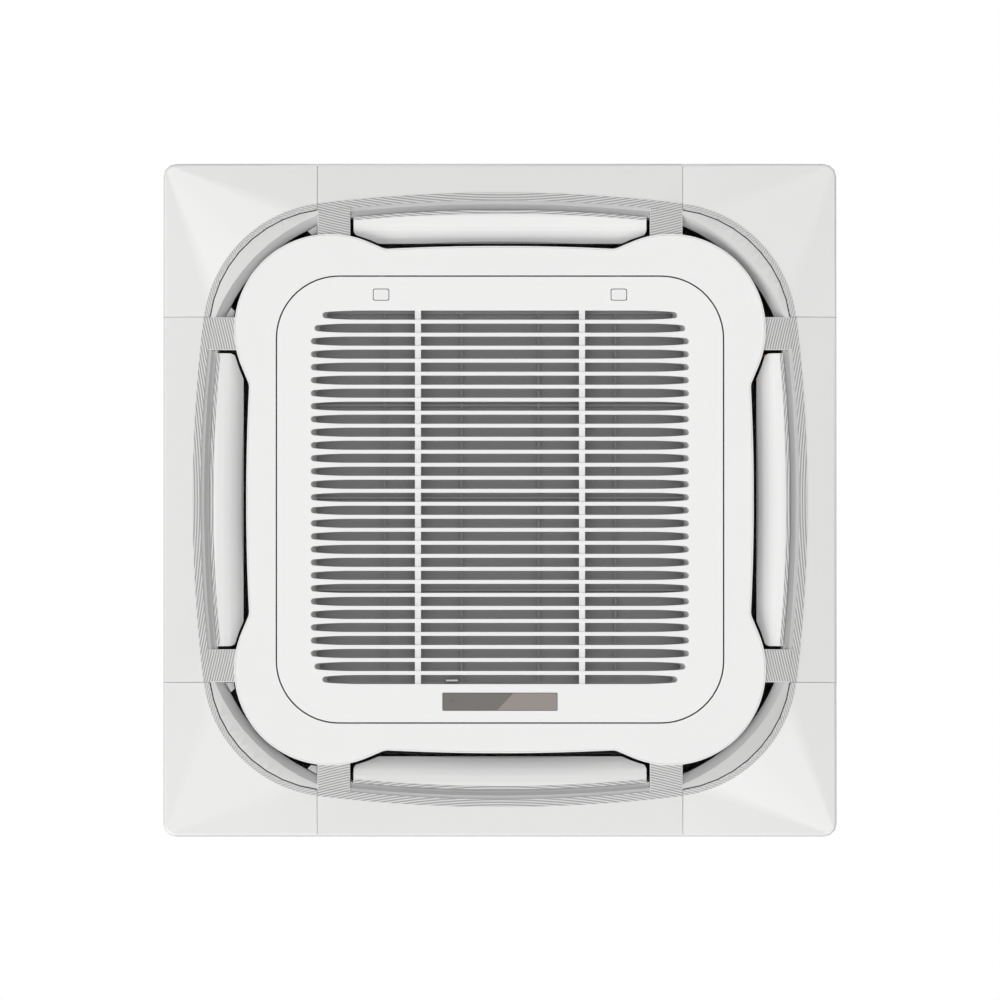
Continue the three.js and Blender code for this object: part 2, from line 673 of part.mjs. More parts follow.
function vaneBush() {
  const bore = PIN_R + GAP;
  const profile = [
    [bore, 0],
    [BUSH_R, 0],
    [BUSH_R, SKIN + GAP],
    [BUSH_R + 2.5, SKIN + GAP],
    [BUSH_R + 2.5, SKIN + GAP + 1.5],
    [bore, SKIN + GAP + 1.5],
  ];
  return turned(profile, 10).rotate([0, 90, 0]).translate([BRIDGE_IN, PIVOT_Y, PIVOT_Z]);
}

const MOTOR_R = 12;
const MOTOR_LENGTH = 16;

// A geared stepper motor inside the bridge, screwed to its wall by two ears.
function vaneMotor() {
  const face = -BRIDGE_IN - SKIN - GAP;
  const can = barX(MOTOR_R, face - MOTOR_LENGTH, face, PIVOT_Y, PIVOT_Z, 16);
  const ears = box(face - 1.2, face, PIVOT_Y - 17, PIVOT_Y + 17, PIVOT_Z - 3.5, PIVOT_Z + 3.5);
  const plug = box(face - MOTOR_LENGTH + 2, face - 4, PIVOT_Y - 6, PIVOT_Y + 6, PIVOT_Z, PIVOT_Z + MOTOR_R + 4);
  const shaft = barX(MOTOR_SHAFT_R, face - 1, -VANE_HALF + 4.5, PIVOT_Y, PIVOT_Z, 10);
  return join(can, ears, plug, shaft);
}

// ---------------------------------------------------------------- intake grille and what it carries

const SLOT_COUNT = Math.round((2 * GRILLE_HALF - LATCH_MARGIN - DISPLAY_MARGIN) / SLOT_PITCH) + 1;
const FIRST_SLOT = -GRILLE_HALF + LATCH_MARGIN;
const SLOT_HALF = GRILLE_HALF - SIDE_MARGIN;
const LAST_SLOT = FIRST_SLOT + (SLOT_COUNT - 1) * SLOT_PITCH;
const LATCH_Y = -GRILLE_HALF + LATCH_INSET;
const DISPLAY_Y = GRILLE_HALF - DISPLAY_INSET;

// A slot's plan: full height in the middle, tapering to a round tip at each end.
function slotPlan(half, y, low, high) {
  const tip = SLOT_TIP_HEIGHT / 2;
  const wide = SLOT_HEIGHT / 2;
  const right = arc(half - tip, 0, tip, -Math.PI / 2, Math.PI / 2, 2);
  const full = half - SLOT_TAPER;
  const side = [at(full, -wide), ...right, at(full, wide)];
  const mirrored = side.map((p) => at(-p.x, p.y)).reverse();
  return [...side, ...mirrored].map((p) => at(p.x, y + (p.y < 0 ? p.y + low : p.y - high)));
}

function slotVoid(i) {
  const fromEnd = Math.min(i, SLOT_COUNT - 1 - i);
  const half = SLOT_HALF - (END_SLOT_CUT[fromEnd] ?? 0);
  const y = FIRST_SLOT + i * SLOT_PITCH;
  const low = i === 0 ? 3 : 0;
  const high = i === SLOT_COUNT - 1 ? 3 : 0;
  const front = slotPlan(half, y, 0, 0);
  const back = slotPlan(half - SLOT_END_SLOPE, y, low, high);
  return loft(front, back, FACE_Z - 0.01, GRILLE_TOP + 0.01);
}

function grilleLatchWell(x) {
  const [w, d] = LATCH_WINDOW;
  const sleeve = prism(rectangle(w + 4, d + 4, x, LATCH_Y), FACE_Z + 1, GRILLE_TOP + 2);
  const hole = prism(rectangle(w, d, x, LATCH_Y), FACE_Z - 1, GRILLE_TOP + 3);
  const sill = prism(rectangle(w + 1, d + 1, x, LATCH_Y), FACE_Z + 11, FACE_Z + 12.5);
  const neck = prism(rectangle(LATCH_NECK[0] + 1, LATCH_NECK[1] + 1, x, LATCH_Y), FACE_Z, GRILLE_TOP + 3);
  return { add: sleeve, open: hole, back: cut(sill, neck) };
}

const LATCH_NECK = [12, 6];

// A swan-necked arm from the grille's rim over the well's wall to the hinge axis behind the face ring.
function grilleArm(x) {
  const [x0, x1] = [x - HINGE_ARM_WIDTH / 2, x + HINGE_ARM_WIDTH / 2];
  const neck = [
    [-HINGE_OUT - 4, -1],
    [-HINGE_OUT - 0.2, -1],
    [-HINGE_OUT - 0.2, HINGE_ARM_RISE - 3.8],
    [-2.6, HINGE_ARM_RISE - 3.8],
    [-2.6, 0],
    [2.8, 0],
    [2.8, HINGE_ARM_RISE - 3],
    [-0.2, HINGE_ARM_RISE],
    [-HINGE_OUT - 2, HINGE_ARM_RISE],
    [-HINGE_OUT - 4, HINGE_ARM_RISE - 2],
  ];
  const arm = alongX(neck.map(([y, z]) => [HINGE_Y + y, HINGE_Z + z]), x0, x1);
  const eye = barX(HINGE_EYE_R, x0, x1, HINGE_Y, HINGE_Z);
  return cut(join(arm, eye), barX(HINGE_PIN_R + GAP, x0 - 1, x1 + 1, HINGE_Y, HINGE_Z, 10));
}

function intakeGrille() {
  const plan = (inset) => roundedSquare(GRILLE_HALF - inset, GRILLE_CORNER_R - inset);
  const plate = join(loft(plan(1), plan(0), FACE_Z, FACE_Z + 1), prism(plan(0), FACE_Z + 1, FACE_Z + GRILLE_PLATE));
  const rim = prism(plan(0), FACE_Z + 1, GRILLE_TOP, [plan(2.5)]);
  const wall = 4;
  const field = box(
    -SLOT_HALF - wall,
    SLOT_HALF + wall,
    FIRST_SLOT - SLOT_HEIGHT / 2 - wall,
    LAST_SLOT + SLOT_HEIGHT / 2 + wall,
    FACE_Z + 1,
    GRILLE_TOP
  );
  const ribs = [-BACK_RIB_X, BACK_RIB_X].map((x) =>
    box(x - BACK_RIB_WIDTH / 2, x + BACK_RIB_WIDTH / 2, FIRST_SLOT - 8, LAST_SLOT + 8, GRILLE_TOP - 0.01, GRILLE_TOP + BACK_RIB_DEPTH)
  );
  const wells = [-LATCH_X, LATCH_X].map(grilleLatchWell);
  const arms = [-HINGE_X, HINGE_X].map(grilleArm);
  const slots = Array.from({ length: SLOT_COUNT }, (_, i) => slotVoid(i));
  const [w, d] = DISPLAY_WINDOW;
  const bezel = prism(rectangle(w + 5, d + 5, 0, DISPLAY_Y), FACE_Z + 1, FACE_Z + 7);
  const window = prism(rectangle(w + 2 * GAP, d + 2 * GAP, 0, DISPLAY_Y), FACE_Z - 1, FACE_Z + 8);
  const stop = prism(rectangle(w + 1, d + 1, 0, DISPLAY_Y), FACE_Z + 3 + GAP, FACE_Z + 4.5, [
    rectangle(w - 4, d - 4, 0, DISPLAY_Y),
  ]);
  const body = join(plate, rim, field, bezel, ...wells.map((well) => well.add));
  const open = cut(body, ...slots, window, ...wells.map((well) => well.open));
  return join(open, stop, ...ribs, ...arms, ...wells.map((well) => well.back));
}

// A push button on a guided neck; its finger reaches over the grille's rim towards the frame.
function latch(x) {
  const [w, d] = LATCH_BUTTON;
  const cap = prism(rectangle(w, d, x, LATCH_Y), FACE_Z, FACE_Z + 6);
  const neck = prism(rectangle(...LATCH_NECK, x, LATCH_Y), FACE_Z + 5, GRILLE_TOP + 7.2);
  const finger = box(x - 5, x + 5, -WELL_HALF + GAP, LATCH_Y + 3, GRILLE_TOP + 4.2, GRILLE_TOP + 7.2);
  const barb = box(x - 5, x + 5, -WELL_HALF + GAP, -WELL_HALF + 3.2, GRILLE_TOP + 1.4, GRILLE_TOP + 5);
  return join(cap, neck, finger, barb);
}

function displayLens() {
  const [w, d] = DISPLAY_WINDOW;
  return prism(rectangle(w, d, 0, DISPLAY_Y), FACE_Z, FACE_Z + 3);
}

function displayBoard() {
  const [w, d] = DISPLAY_WINDOW;
  const board = prism(rectangle(w - 1, d - 1, 0, DISPLAY_Y), FACE_Z + 4.8, FACE_Z + 6.2);
  const receiver = disc(3.4, FACE_Z + 3.4, FACE_Z + 5, 16).translate([-68.6, DISPLAY_Y, 0]);
  const lamps = [0, 1, 2].map((i) => box(46 + 10 * i, 50 + 10 * i, DISPLAY_Y - 2, DISPLAY_Y + 2, FACE_Z + 3.4, FACE_Z + 5));
  const plug = box(20, 32, DISPLAY_Y - 4, DISPLAY_Y + 4, FACE_Z + 6, FACE_Z + 12);
  return join(board, receiver, ...lamps, plug);
}

const FILTER_BASE = GRILLE_TOP + BACK_RIB_DEPTH + GAP;
const FILTER_FRAME = 5;
const FILTER_BARS = [5, 4];
const FILTER_TAB_X = [-76.2, -59.3];

function filterPlan(inset) {
  const [x, y0, y1] = [SLOT_HALF + 10 - inset, FIRST_SLOT - 9 + inset, LAST_SLOT + 9 - inset];
  return [at(-x, y0), at(x, y0), at(x, y1), at(-x, y1)];
}

function filterFrame() {
  const [columns, rows] = FILTER_BARS;
  const rail = 7;
  const bar = 3;
  const [corner, , opposite] = filterPlan(rail);
  const wide = (opposite.x - corner.x - (columns - 1) * bar) / columns;
  const deep = (opposite.y - corner.y - (rows - 1) * bar) / rows;
  const windows = [];
  for (let i = 0; i < columns; i++) {
    for (let j = 0; j < rows; j++) {
      const x = corner.x + i * (wide + bar);
      const y = corner.y + j * (deep + bar);
      windows.push(box(x, x + wide, y, y + deep, FILTER_BASE - 1, FILTER_BASE + FILTER_FRAME + 1));
    }
  }
  const frame = cut(prism(filterPlan(0), FILTER_BASE, FILTER_BASE + FILTER_FRAME), ...windows);
  const tab = box(...FILTER_TAB_X, LAST_SLOT + 0.2, LAST_SLOT + 2.8, FACE_Z + 5, FILTER_BASE + 1);
  return join(frame, tab);
}

const filterNet = () => prism(filterPlan(2), FILTER_BASE + FILTER_FRAME + GAP, FILTER_BASE + FILTER_FRAME + GAP + 1);

const hingePin = (x) => {
  const half = HINGE_SLOT_HALF + HINGE_CHEEK + GAP;
  const pin = barX(HINGE_PIN_R, x - half, x + half + 1, HINGE_Y, HINGE_Z);
  return join(pin, barX(HINGE_PIN_R + 1.4, x + half, x + half + 1.2, HINGE_Y, HINGE_Z));
};

// ---------------------------------------------------------------- seal, screws, cabinet, pan and liner

const SEAL_TOP = CABINET_BASE - GAP;

// The outlets as straight shafts through the seal and the drain pan.
function airShafts() {
  const side = prism(outletPlan(LINER_HALF - 7, BRIDGE_IN + 1.5, NOTCH_EDGE - 0.6), -10, 90);
  const corner = prism(cornerPlan(1 - CORNER_LEAN, SEAM, BRIDGE_ROOT - 8), -10, 90);
  const behind = prism(facePlan(0.5), -20, 100);
  const near = box(-CABINET_HALF, BRIDGE_IN + BRIDGE_WIDTH + 42, 0, CABINET_HALF, -20, 100);
  const near2 = box(0, CABINET_HALF, -CABINET_HALF, BRIDGE_IN + BRIDGE_WIDTH + 42, -20, 100);
  const inside = prism(cabinetPlan(STEEL + GAP + 7), -20, 100);
  const ends = cut(corner.intersect(join(near, near2)), behind);
  return onAllSides(join(side, ends)).intersect(inside);
}

function panelSeal() {
  const ring = prism(cabinetPlan(6), DUCT_TOP + GAP, SEAL_TOP, [roundedSquare(COIL_OUT + 32, 60)]);
  return cut(ring, airShafts());
}

const SCREW_TOP = CABINET_BASE + 12;

function panelScrew() {
  const head = cut(
    disc(SCREW_HEAD_R, SCREW_SEAT - GAP - 4.5, SCREW_SEAT - GAP, 12),
    disc(3, SCREW_SEAT - 8, SCREW_SEAT - 2.8, 6)
  );
  return join(head, disc(PANEL_SCREW_R, SCREW_SEAT - GAP - 1, SCREW_TOP, 8)).translate([...bossPlace(), 0]);
}

const GAS_PIPE = { y: -212, z: 150, r: GAS_PIPE_R };
const LIQUID_PIPE = { y: -178, z: 150, r: LIQUID_PIPE_R };
const DRAIN_PORT = { y: 218, z: 118 };

function pipeHoles(extra) {
  const x0 = CABINET_HALF - 40;
  const x1 = CABINET_HALF + 40;
  const pipes = [GAS_PIPE, LIQUID_PIPE].map(({ y, z, r }) => barX(r + extra, x0, x1, y, z));
  return join(...pipes, barX(DRAIN_PIPE_R + extra, x0, x1, DRAIN_PORT.y, DRAIN_PORT.z, 20));
}

const PIPE_WINDOW = [76, 44];

function pipeWindow(grow) {
  const y = (GAS_PIPE.y + LIQUID_PIPE.y) / 2;
  const [w, h] = PIPE_WINDOW.map((size) => size / 2 + grow);
  return box(CABINET_HALF - 40, CABINET_HALF + 40, y - w, y + w, GAS_PIPE.z - h, GAS_PIPE.z + h);
}

function cabinetShell() {
  const wall = prism(cabinetPlan(0), CABINET_BASE, CABINET_TOP, [cabinetPlan(STEEL)]);
  const lip = prism(cabinetPlan(0.5), CABINET_BASE, CABINET_BASE + STEEL, [cabinetPlan(6)]);
  const bead = prism(cabinetPlan(-1), 206, 214, [cabinetPlan(STEEL - 0.4)]);
  const drain = barX(DRAIN_PIPE_R + 1, CABINET_HALF - 20, CABINET_HALF + 20, DRAIN_PORT.y, DRAIN_PORT.z, 20);
  return cut(join(wall, lip, bead), pipeWindow(0), drain);
}

const cornerFace = () => {
  const reach = (2 * CABINET_HALF - CABINET_CUT) / 2;
  return [reach, reach];
};

function topPlate() {
  const base = CABINET_TOP + GAP;
  const sheet = prism(cabinetPlan(-STEEL - GAP), base, base + STEEL);
  const skirt = prism(cabinetPlan(-STEEL - GAP), base - 12, base + 0.5, [cabinetPlan(-GAP)]);
  const rib = (x0, x1, y) => box(x0, x1, y - 7, y + 7, base + 0.6, base + STEEL + 4);
  const ribs = [-280, -180, 180, 280].map((y) => rib(-250, 250, y));
  const sides = [-1, 1].flatMap((s) => [-90, 0, 90].map((y) => rib(s > 0 ? 170 : -330, s > 0 ? 330 : -170, y)));
  const crown = disc(130, base + 0.6, base + STEEL + 5, 32);
  const hollow = disc(124, base - 1, base + STEEL + 3, 32);
  return cut(join(sheet, skirt, ...ribs, ...sides, crown), hollow);
}

function wallLiner() {
  const walls = prism(cabinetPlan(STEEL + GAP), PAN_TOP + GAP, LINER_TOP, [cabinetPlan(STEEL + GAP + LINER)]);
  const roof = prism(cabinetPlan(STEEL + GAP + 1), LINER_TOP - LINER, LINER_TOP, [circle(122, 0, 0, 32)]);
  return cut(join(walls, roof), pipeHoles(1.5));
}

const SUMP = { x: COIL_OUT + 6, y: COIL_OUT + 6, r: 27 };
const FLOAT = { x: COIL_OUT - 41, y: COIL_OUT + 33, r: 13 };

function drainPan() {
  const body = prism(cabinetPlan(STEEL + GAP), PAN_BASE, PAN_TOP, [circle(MOUTH_R + 3, 0, 0, 32)]);
  const floor = PAN_TOP - PAN_TROUGH;
  const trough = prism(roundedSquare(COIL_OUT + 7, COIL_CORNER_R + 7), floor, PAN_TOP + 1, [
    roundedSquare(COIL_IN - 7, COIL_CORNER_R - COIL_DEPTH - 7),
  ]);
  const sump = prism(capsule(at(SUMP.x, SUMP.y), at(FLOAT.x, FLOAT.y), SUMP.r), floor - 6, PAN_TOP + 1);
  return cut(body, trough, sump, airShafts());
}

// ---------------------------------------------------------------- air path: bellmouth, fan, motor

const BELL_WALL = 2.5;
const BELL_TOP = SHROUD_BASE + 6;

function bellmouth() {
  const base = PAN_BASE - GAP - 3;
  const steps = 4;
  const flare = (extra) =>
    Array.from({ length: steps + 1 }, (_, i) => {
      const a = ((Math.PI / 2) * i) / steps;
      const r = MOUTH_R - (MOUTH_R - THROAT_R) * Math.sin(a) + extra;
      return [r, base + (BELL_TOP - 14 - base) * (1 - Math.cos(a))];
    });
  const outer = flare(BELL_WALL).slice(1).reverse();
  const profile = [
    ...flare(0),
    [THROAT_R, BELL_TOP],
    [THROAT_R + BELL_WALL, BELL_TOP],
    ...outer,
    [MOUTH_R + 1, base + 3],
    [MOUTH_R + 13, base + 3],
    [MOUTH_R + 13, base],
  ];
  return turned(profile.reverse(), 24);
}

// The impeller: back plate with a dome over the motor, shroud ring, and backward-curved blades.
function fan() {
  const wall = 3;
  const dome = [
    [SHAFT_R + GAP, HUB_Z],
    [16, HUB_Z],
    [70, HUB_Z + 4],
    [86, HUB_Z + 18],
    [112, FAN_BACK],
    [FAN_R, FAN_BACK],
    [FAN_R, FAN_BACK + wall],
    [110, FAN_BACK + wall],
    [83, HUB_Z + 21],
    [68, HUB_Z + 7],
    [18, HUB_Z + 4],
    [18, HUB_Z + 20],
    [SHAFT_R + GAP, HUB_Z + 20],
  ];
  const back = turned(dome, FAN_SIDES);
  return join(back, turned(shroudProfile(wall), FAN_SIDES), ...fanBlades());
}

const FAN_SIDES = 20;
const HUB_Z = FAN_BACK - 93;
const SHROUD_RISE = 34;

function shroudProfile(wall) {
  const steps = 3;
  const line = (extra) =>
    Array.from({ length: steps + 1 }, (_, i) => {
      const a = ((Math.PI / 2) * i) / steps;
      const r = FAN_R - (FAN_R - EYE_R) * Math.cos(a);
      return [r, SHROUD_BASE + 8 + extra + (SHROUD_RISE - 8) * Math.sin(a)];
    });
  return [[EYE_R, SHROUD_BASE], ...line(0), ...line(wall).reverse().slice(0, -1), [EYE_R + wall, SHROUD_BASE + 10], [EYE_R + wall, SHROUD_BASE]];
}

function fanBlades() {
  const inner = EYE_R - 22;
  const steps = 4;
  const camber = (side) =>
    Array.from({ length: steps + 1 }, (_, i) => {
      const part = i / steps;
      const r = inner + (FAN_R - 0.5 - inner) * part;
      const sweep = -0.62 * part - 0.14 * part * part;
      const thick = side * (1.2 + 4.2 * Math.sqrt(part) * (1 - part) * 1.6);
      return at(r * Math.cos(sweep) - thick * Math.sin(sweep - 0.6), r * Math.sin(sweep) + thick * Math.cos(sweep - 0.6));
    });
  const plan = [...camber(-1), ...camber(1).reverse()];
  const blade = prism(plan, SHROUD_BASE + 4, FAN_BACK + 1);
  const room = turned([[EYE_R - 40, SHROUD_BASE + 30], ...shroudProfile(3).slice(1, 5).map(([r, z]) => [r, z + 1.5]), [FAN_R, FAN_BACK + 1], [90, FAN_BACK + 1]], FAN_SIDES);
  const trimmed = blade.intersect(room);
  return Array.from({ length: FAN_BLADES }, (_, i) => trimmed.rotate([0, 0, (360 * i) / FAN_BLADES]));
}

const MOTOR_BASE = HUB_Z + 52;
const MOTOR_TOP = CABINET_TOP - 21;

function fanMotor() {
  const [z0, z1] = [MOTOR_BASE, MOTOR_TOP];
  const profile = [
    [SHAFT_R + GAP, z0],
    [22, z0],
    [22, z0 + 4],
    [54, z0 + 6],
    [62, z0 + 12],
    [62, z1 - 6],
    [56, z1],
    [SHAFT_R + GAP, z1],
  ];
  return turned(profile, 20);
}

const motorShaft = () => disc(SHAFT_R, HUB_Z - 14, MOTOR_TOP - 4);

const fanNut = () => cut(disc(11, HUB_Z - 8.6, HUB_Z - GAP, 6), disc(SHAFT_R + GAP, HUB_Z - 20, HUB_Z + 5));

const MOUNT_R = 95;

// A pressed plate with three arms that hangs the motor from the top plate on rubber mounts.
function motorBracket() {
  const z = MOTOR_TOP + GAP;
  const arms = [0, 1, 2].map((i) =>
    prism(capsule(at(0, 0), at(MOUNT_R, 0), 15, 4), z, z + 2.5).rotate([0, 0, 120 * i + 30])
  );
  const holes = [0, 1, 2].map((i) => disc(5.5, z - 5, z + 9, 12).translate([MOUNT_R, 0, 0]).rotate([0, 0, 120 * i + 30]));
  return cut(join(disc(48, z, z + 2.5, 20), ...arms), ...holes);
}

function motorRubber() {
  const z = MOTOR_TOP + GAP;
  const top = CABINET_TOP + GAP + STEEL + 3 - GAP;
  const profile = [[0, z - 4], [9, z - 4], [9, z - GAP], [5, z - GAP], [5, z + 2.5 + GAP], [10, z + 2.5 + GAP], [10, top], [0, top]];
  return turned(profile, 12).translate([MOUNT_R, 0, 0]);
}

// ---------------------------------------------------------------- heat exchanger and pipes

const COIL_GAP = 128; // open corner, from the coil's side to each end of the fin pack

// The fin pack: a bent ring, open at the +X-Y corner, with its fins showing as grooves on both faces.
function finPack() {
  const outer = roundedSquare(COIL_OUT, COIL_CORNER_R, 6);
  const inner = roundedSquare(COIL_IN, COIL_CORNER_R - COIL_DEPTH, 6);
  const ring = prism(outer, COIL_BASE, COIL_TOP, [inner]);
  const open = box(COIL_OUT - COIL_GAP, COIL_OUT + 1, -COIL_OUT - 1, -COIL_OUT + COIL_GAP, COIL_BASE - 1, COIL_TOP + 1);
  const run = COIL_OUT - COIL_GAP - 8;
  const grooves = [];
  for (let k = 0; k < 4; k++) {
    for (let i = 0; i < COIL_FINS; i++) {
      const x = -run + (2 * run * (i + 0.5)) / COIL_FINS;
      const face = box(x - 1, x + 1, COIL_OUT - 3, COIL_OUT + 1, COIL_BASE - 1, COIL_TOP + 1);
      grooves.push(face.rotate([0, 0, 90 * k]));
    }
  }
  return cut(ring, open, ...grooves);
}

const tube = (points, r, sides = 10, steps = 24) => {
  const path = new THREE.CatmullRomCurve3(points.map((p) => new THREE.Vector3(...p)));
  const section = new THREE.Shape(circle(r, 0, 0, sides));
  return solid(new THREE.ExtrudeGeometry(section, { steps, extrudePath: path, bevelEnabled: false }));
};

// The hairpin bends that stand out of the coil's end plates, with the plates that carry them.
function returnBends() {
  const x = COIL_OUT - COIL_GAP;
  const plate = box(x + GAP, x + GAP + 1.5, -COIL_OUT + 1, -COIL_IN - 1, COIL_BASE, COIL_TOP);
  const bends = [];
  const rows = 5;
  for (let i = 0; i < rows; i++) {
    const z = COIL_BASE + 16 + (i * (COIL_TOP - COIL_BASE - 32)) / (rows - 1);
    const y = -COIL_OUT + 10;
    const [near, far] = [x + 1, x + 14];
    const points = [
      [near, y, z],
      [far - 4, y, z],
      [far + 4, y + 10, z],
      [far - 4, y + 20, z],
      [near, y + 20, z],
    ];
    bends.push(tube(points, 4, 6, 6));
  }
  return join(plate, ...bends);
}

// A refrigerant stub from the open corner out through the side, with its flare nut.
function refrigerantPipe({ y, z, r }, start) {
  const out = CABINET_HALF + 42;
  const pipe = tube([[start, y, z], [start + 30, y, z], [CABINET_HALF, y, z], [out, y, z]], r, 12, 3);
  const riser = disc(r, COIL_BASE + 20, z + r, 12).translate([start, y, 0]);
  const nut = barX(r + 5.5, out - 16, out - 2, y, z, 6);
  const bore = barX(r - 1, out - 20, out + 1, y, z);
  return cut(join(pipe, riser, nut), bore);
}

function pipePlate() {
  const y = (GAS_PIPE.y + LIQUID_PIPE.y) / 2;
  const [w, h] = PIPE_WINDOW.map((size) => size / 2 + 8);
  const sheet = box(CABINET_HALF + GAP, CABINET_HALF + GAP + STEEL, y - w, y + w, GAS_PIPE.z - h, GAS_PIPE.z + h);
  return cut(sheet, pipeHoles(GAP));
}

// The condensate pump stands in the sump, and its pipe leaves through the +X side.
function drainPump() {
  const floor = PAN_TOP - PAN_TROUGH - 6 + GAP;
  const body = join(disc(15, floor, floor + 12), disc(21, floor + 12, floor + 60), disc(24, floor + 60, floor + 96));
  const spout = barX(9, 0, 26, 0, 0).rotate([0, 0, -90]).translate([0, 0, DRAIN_PORT.z]);
  return join(body, spout).translate([SUMP.x, SUMP.y, 0]);
}

function drainPipe() {
  const start = SUMP.y - 26 - GAP;
  const { y, z } = DRAIN_PORT;
  const out = CABINET_HALF + 35;
  const route = [[SUMP.x, start, z], [SUMP.x, start - 14, z], [SUMP.x + 14, y + 8, z], [SUMP.x + 40, y, z], [CABINET_HALF, y, z]];
  const bend = tube(route, 11, 8, 8);
  const bendBore = tube(route, 9, 8, 8);
  const spigot = barX(DRAIN_PIPE_R, CABINET_HALF - 24, out, y, z, 20);
  const bore = barX(DRAIN_PIPE_R - 2.5, CABINET_HALF - 4, out + 1, y, z, 20);
  return cut(join(bend, spigot), bore, bendBore);
}

const FLOAT_FLOOR = PAN_TOP - PAN_TROUGH - 6;
const FLOAT_TRAVEL = 9;

function floatStem() {
  const z = FLOAT_FLOOR + GAP;
  const profile = [[0, z], [10, z], [10, z + 3], [3, z + 3], [3, z + 34], [8, z + 34], [8, z + 60], [0, z + 60]];
  return turned(profile, 14).translate([FLOAT.x, FLOAT.y, 0]);
}

function floatRing() {
  const z = FLOAT_FLOOR + GAP + 3 + GAP;
  const profile = [[3.5, z], [FLOAT.r - 2, z], [FLOAT.r, z + 2], [FLOAT.r, z + 14], [FLOAT.r - 2, z + 16], [3.5, z + 16]];
  return turned(profile, 14).translate([FLOAT.x, FLOAT.y, 0]);
}

// ---------------------------------------------------------------- control box and brackets

const BOX_X = [-WELL_HALF - 1, -MOUTH_R - 14 - GAP];
const BOX_HALF_LENGTH = 150;
const BOX_BASE = -9;

function controlBox() {
  const top = PAN_BASE - GAP;
  const [x0, x1] = BOX_X;
  const body = box(x0, x1, -BOX_HALF_LENGTH, BOX_HALF_LENGTH, BOX_BASE, top);
  const room = box(x0 + STEEL, x1 - STEEL, -BOX_HALF_LENGTH + STEEL, BOX_HALF_LENGTH - STEEL, BOX_BASE - 1, top - STEEL);
  const board = box(x0 + 6, x1 - 6, -BOX_HALF_LENGTH + 8, BOX_HALF_LENGTH - 8, top - STEEL - 6, top - STEEL - 4.4);
  const posts = [-1, 1].flatMap((s) =>
    [x0 + 10, x1 - 10].map((x) => disc(3, top - STEEL - 5, top - 0.5, 10).translate([x, s * (BOX_HALF_LENGTH - 14), 0]))
  );
  const parts = [-90, -30, 40, 100].map((y) => box(x0 + 16, x0 + 44, y - 12, y + 12, BOX_BASE + 3, top - STEEL - 6.1 + 0.3));
  return join(cut(body, room), board, ...posts, ...parts);
}

function controlBoxLid() {
  const [x0, x1] = BOX_X;
  const top = BOX_BASE - GAP;
  const plate = box(x0, x1, -BOX_HALF_LENGTH, BOX_HALF_LENGTH, top - STEEL, top);
  const screws = [-1, 1].map((s) => disc(3.5, top - STEEL - 1.6, top - 0.5, 12).translate([(x0 + x1) / 2, s * (BOX_HALF_LENGTH - 12), 0]));
  return join(plate, ...screws);
}

const BRACKET_WALL = 2.5;
const BRACKET_HALF = 58;
const EAR_REACH = 66;

// A folded bracket on a cut corner; side is +1 or -1 for the rod slot's hand.
function cornerBracket(side) {
  const tangent = ((BRACKET_PITCH[0] - BRACKET_PITCH[1]) / 2 / Math.SQRT2) * side;
  const outward = (BRACKET_PITCH[0] + BRACKET_PITCH[1]) / 2 / Math.SQRT2 - (2 * CABINET_HALF - CABINET_CUT) / Math.SQRT2;
  const back = box(-BRACKET_HALF, BRACKET_HALF, GAP, GAP + BRACKET_WALL, CABINET_BASE, BRACKET_RISE + BRACKET_WALL);
  const ear = box(tangent - 22, tangent + 22, GAP, EAR_REACH, BRACKET_RISE, BRACKET_RISE + BRACKET_WALL);
  const cheeks = [-22, 22 - BRACKET_WALL].map((x) => cheek(tangent + x));
  const lug = box(-20, 20, GAP, PANEL_SCREW_OUT + 14, CABINET_BASE, CABINET_BASE + BRACKET_WALL);
  const run = (ROD_SLOT[1] - ROD_SLOT[0]) / 2;
  const slot = prism(capsule(at(tangent, outward - run), at(tangent, outward + run), ROD_SLOT[0] / 2, 5), BRACKET_RISE - 5, BRACKET_RISE + 9);
  const hole = disc(PANEL_SCREW_R + GAP, CABINET_BASE - 5, CABINET_BASE + 9, 12).translate([0, PANEL_SCREW_OUT, 0]);
  return cut(join(back, ear, lug, ...cheeks), slot, hole);
}

// A triangular stiffening cheek under the ear.
function cheek(x) {
  const outline = [[GAP, BRACKET_RISE - 40], [EAR_REACH - 6, BRACKET_RISE + 1], [GAP, BRACKET_RISE + 1]];
  return alongX(outline, x, x + BRACKET_WALL);
}

// ---------------------------------------------------------------- assembly

const unit = new THREE.Group();
const add = (parent, name, body, material) => parent.add(meshOf(name, body, material));

add(unit, "panel_frame", panelFrame(), FACE_WHITE);
add(unit, "face_ring", faceRing(), INNER_WHITE);
add(unit, "panel_seal", panelSeal(), DARK_FOAM);

// Vanes, bushes and motors: drawn on the +Y side and turned to the other three.
["display", "left", "latch", "right"].forEach((side, k) => {
  const group = new THREE.Group();
  group.rotation.z = (k * Math.PI) / 2;
  add(group, `vane_${side}`, vane(), VANE_WHITE);
  add(group, `vane_bush_${side}`, vaneBush(), DARK_PLASTIC);
  add(group, `vane_motor_${side}`, vaneMotor(), ZINC);
  unit.add(group);
});

// Corner covers, panel screws and brackets: drawn in the +X+Y corner and turned.
for (let k = 0; k < 4; k++) {
  const group = new THREE.Group();
  group.rotation.z = (k * Math.PI) / 2;
  add(group, `corner_cover_${k + 1}`, cornerCover(), FACE_WHITE);
  add(group, `panel_screw_${k + 1}`, panelScrew(), ZINC);
  unit.add(group);
  const bracket = meshOf(`corner_bracket_${k + 1}`, cornerBracket(k % 2 === 0 ? 1 : -1), GALVANISED);
  bracket.rotation.z = -Math.PI / 4;
  bracket.position.set(...cornerFace(), 0);
  group.add(bracket);
}

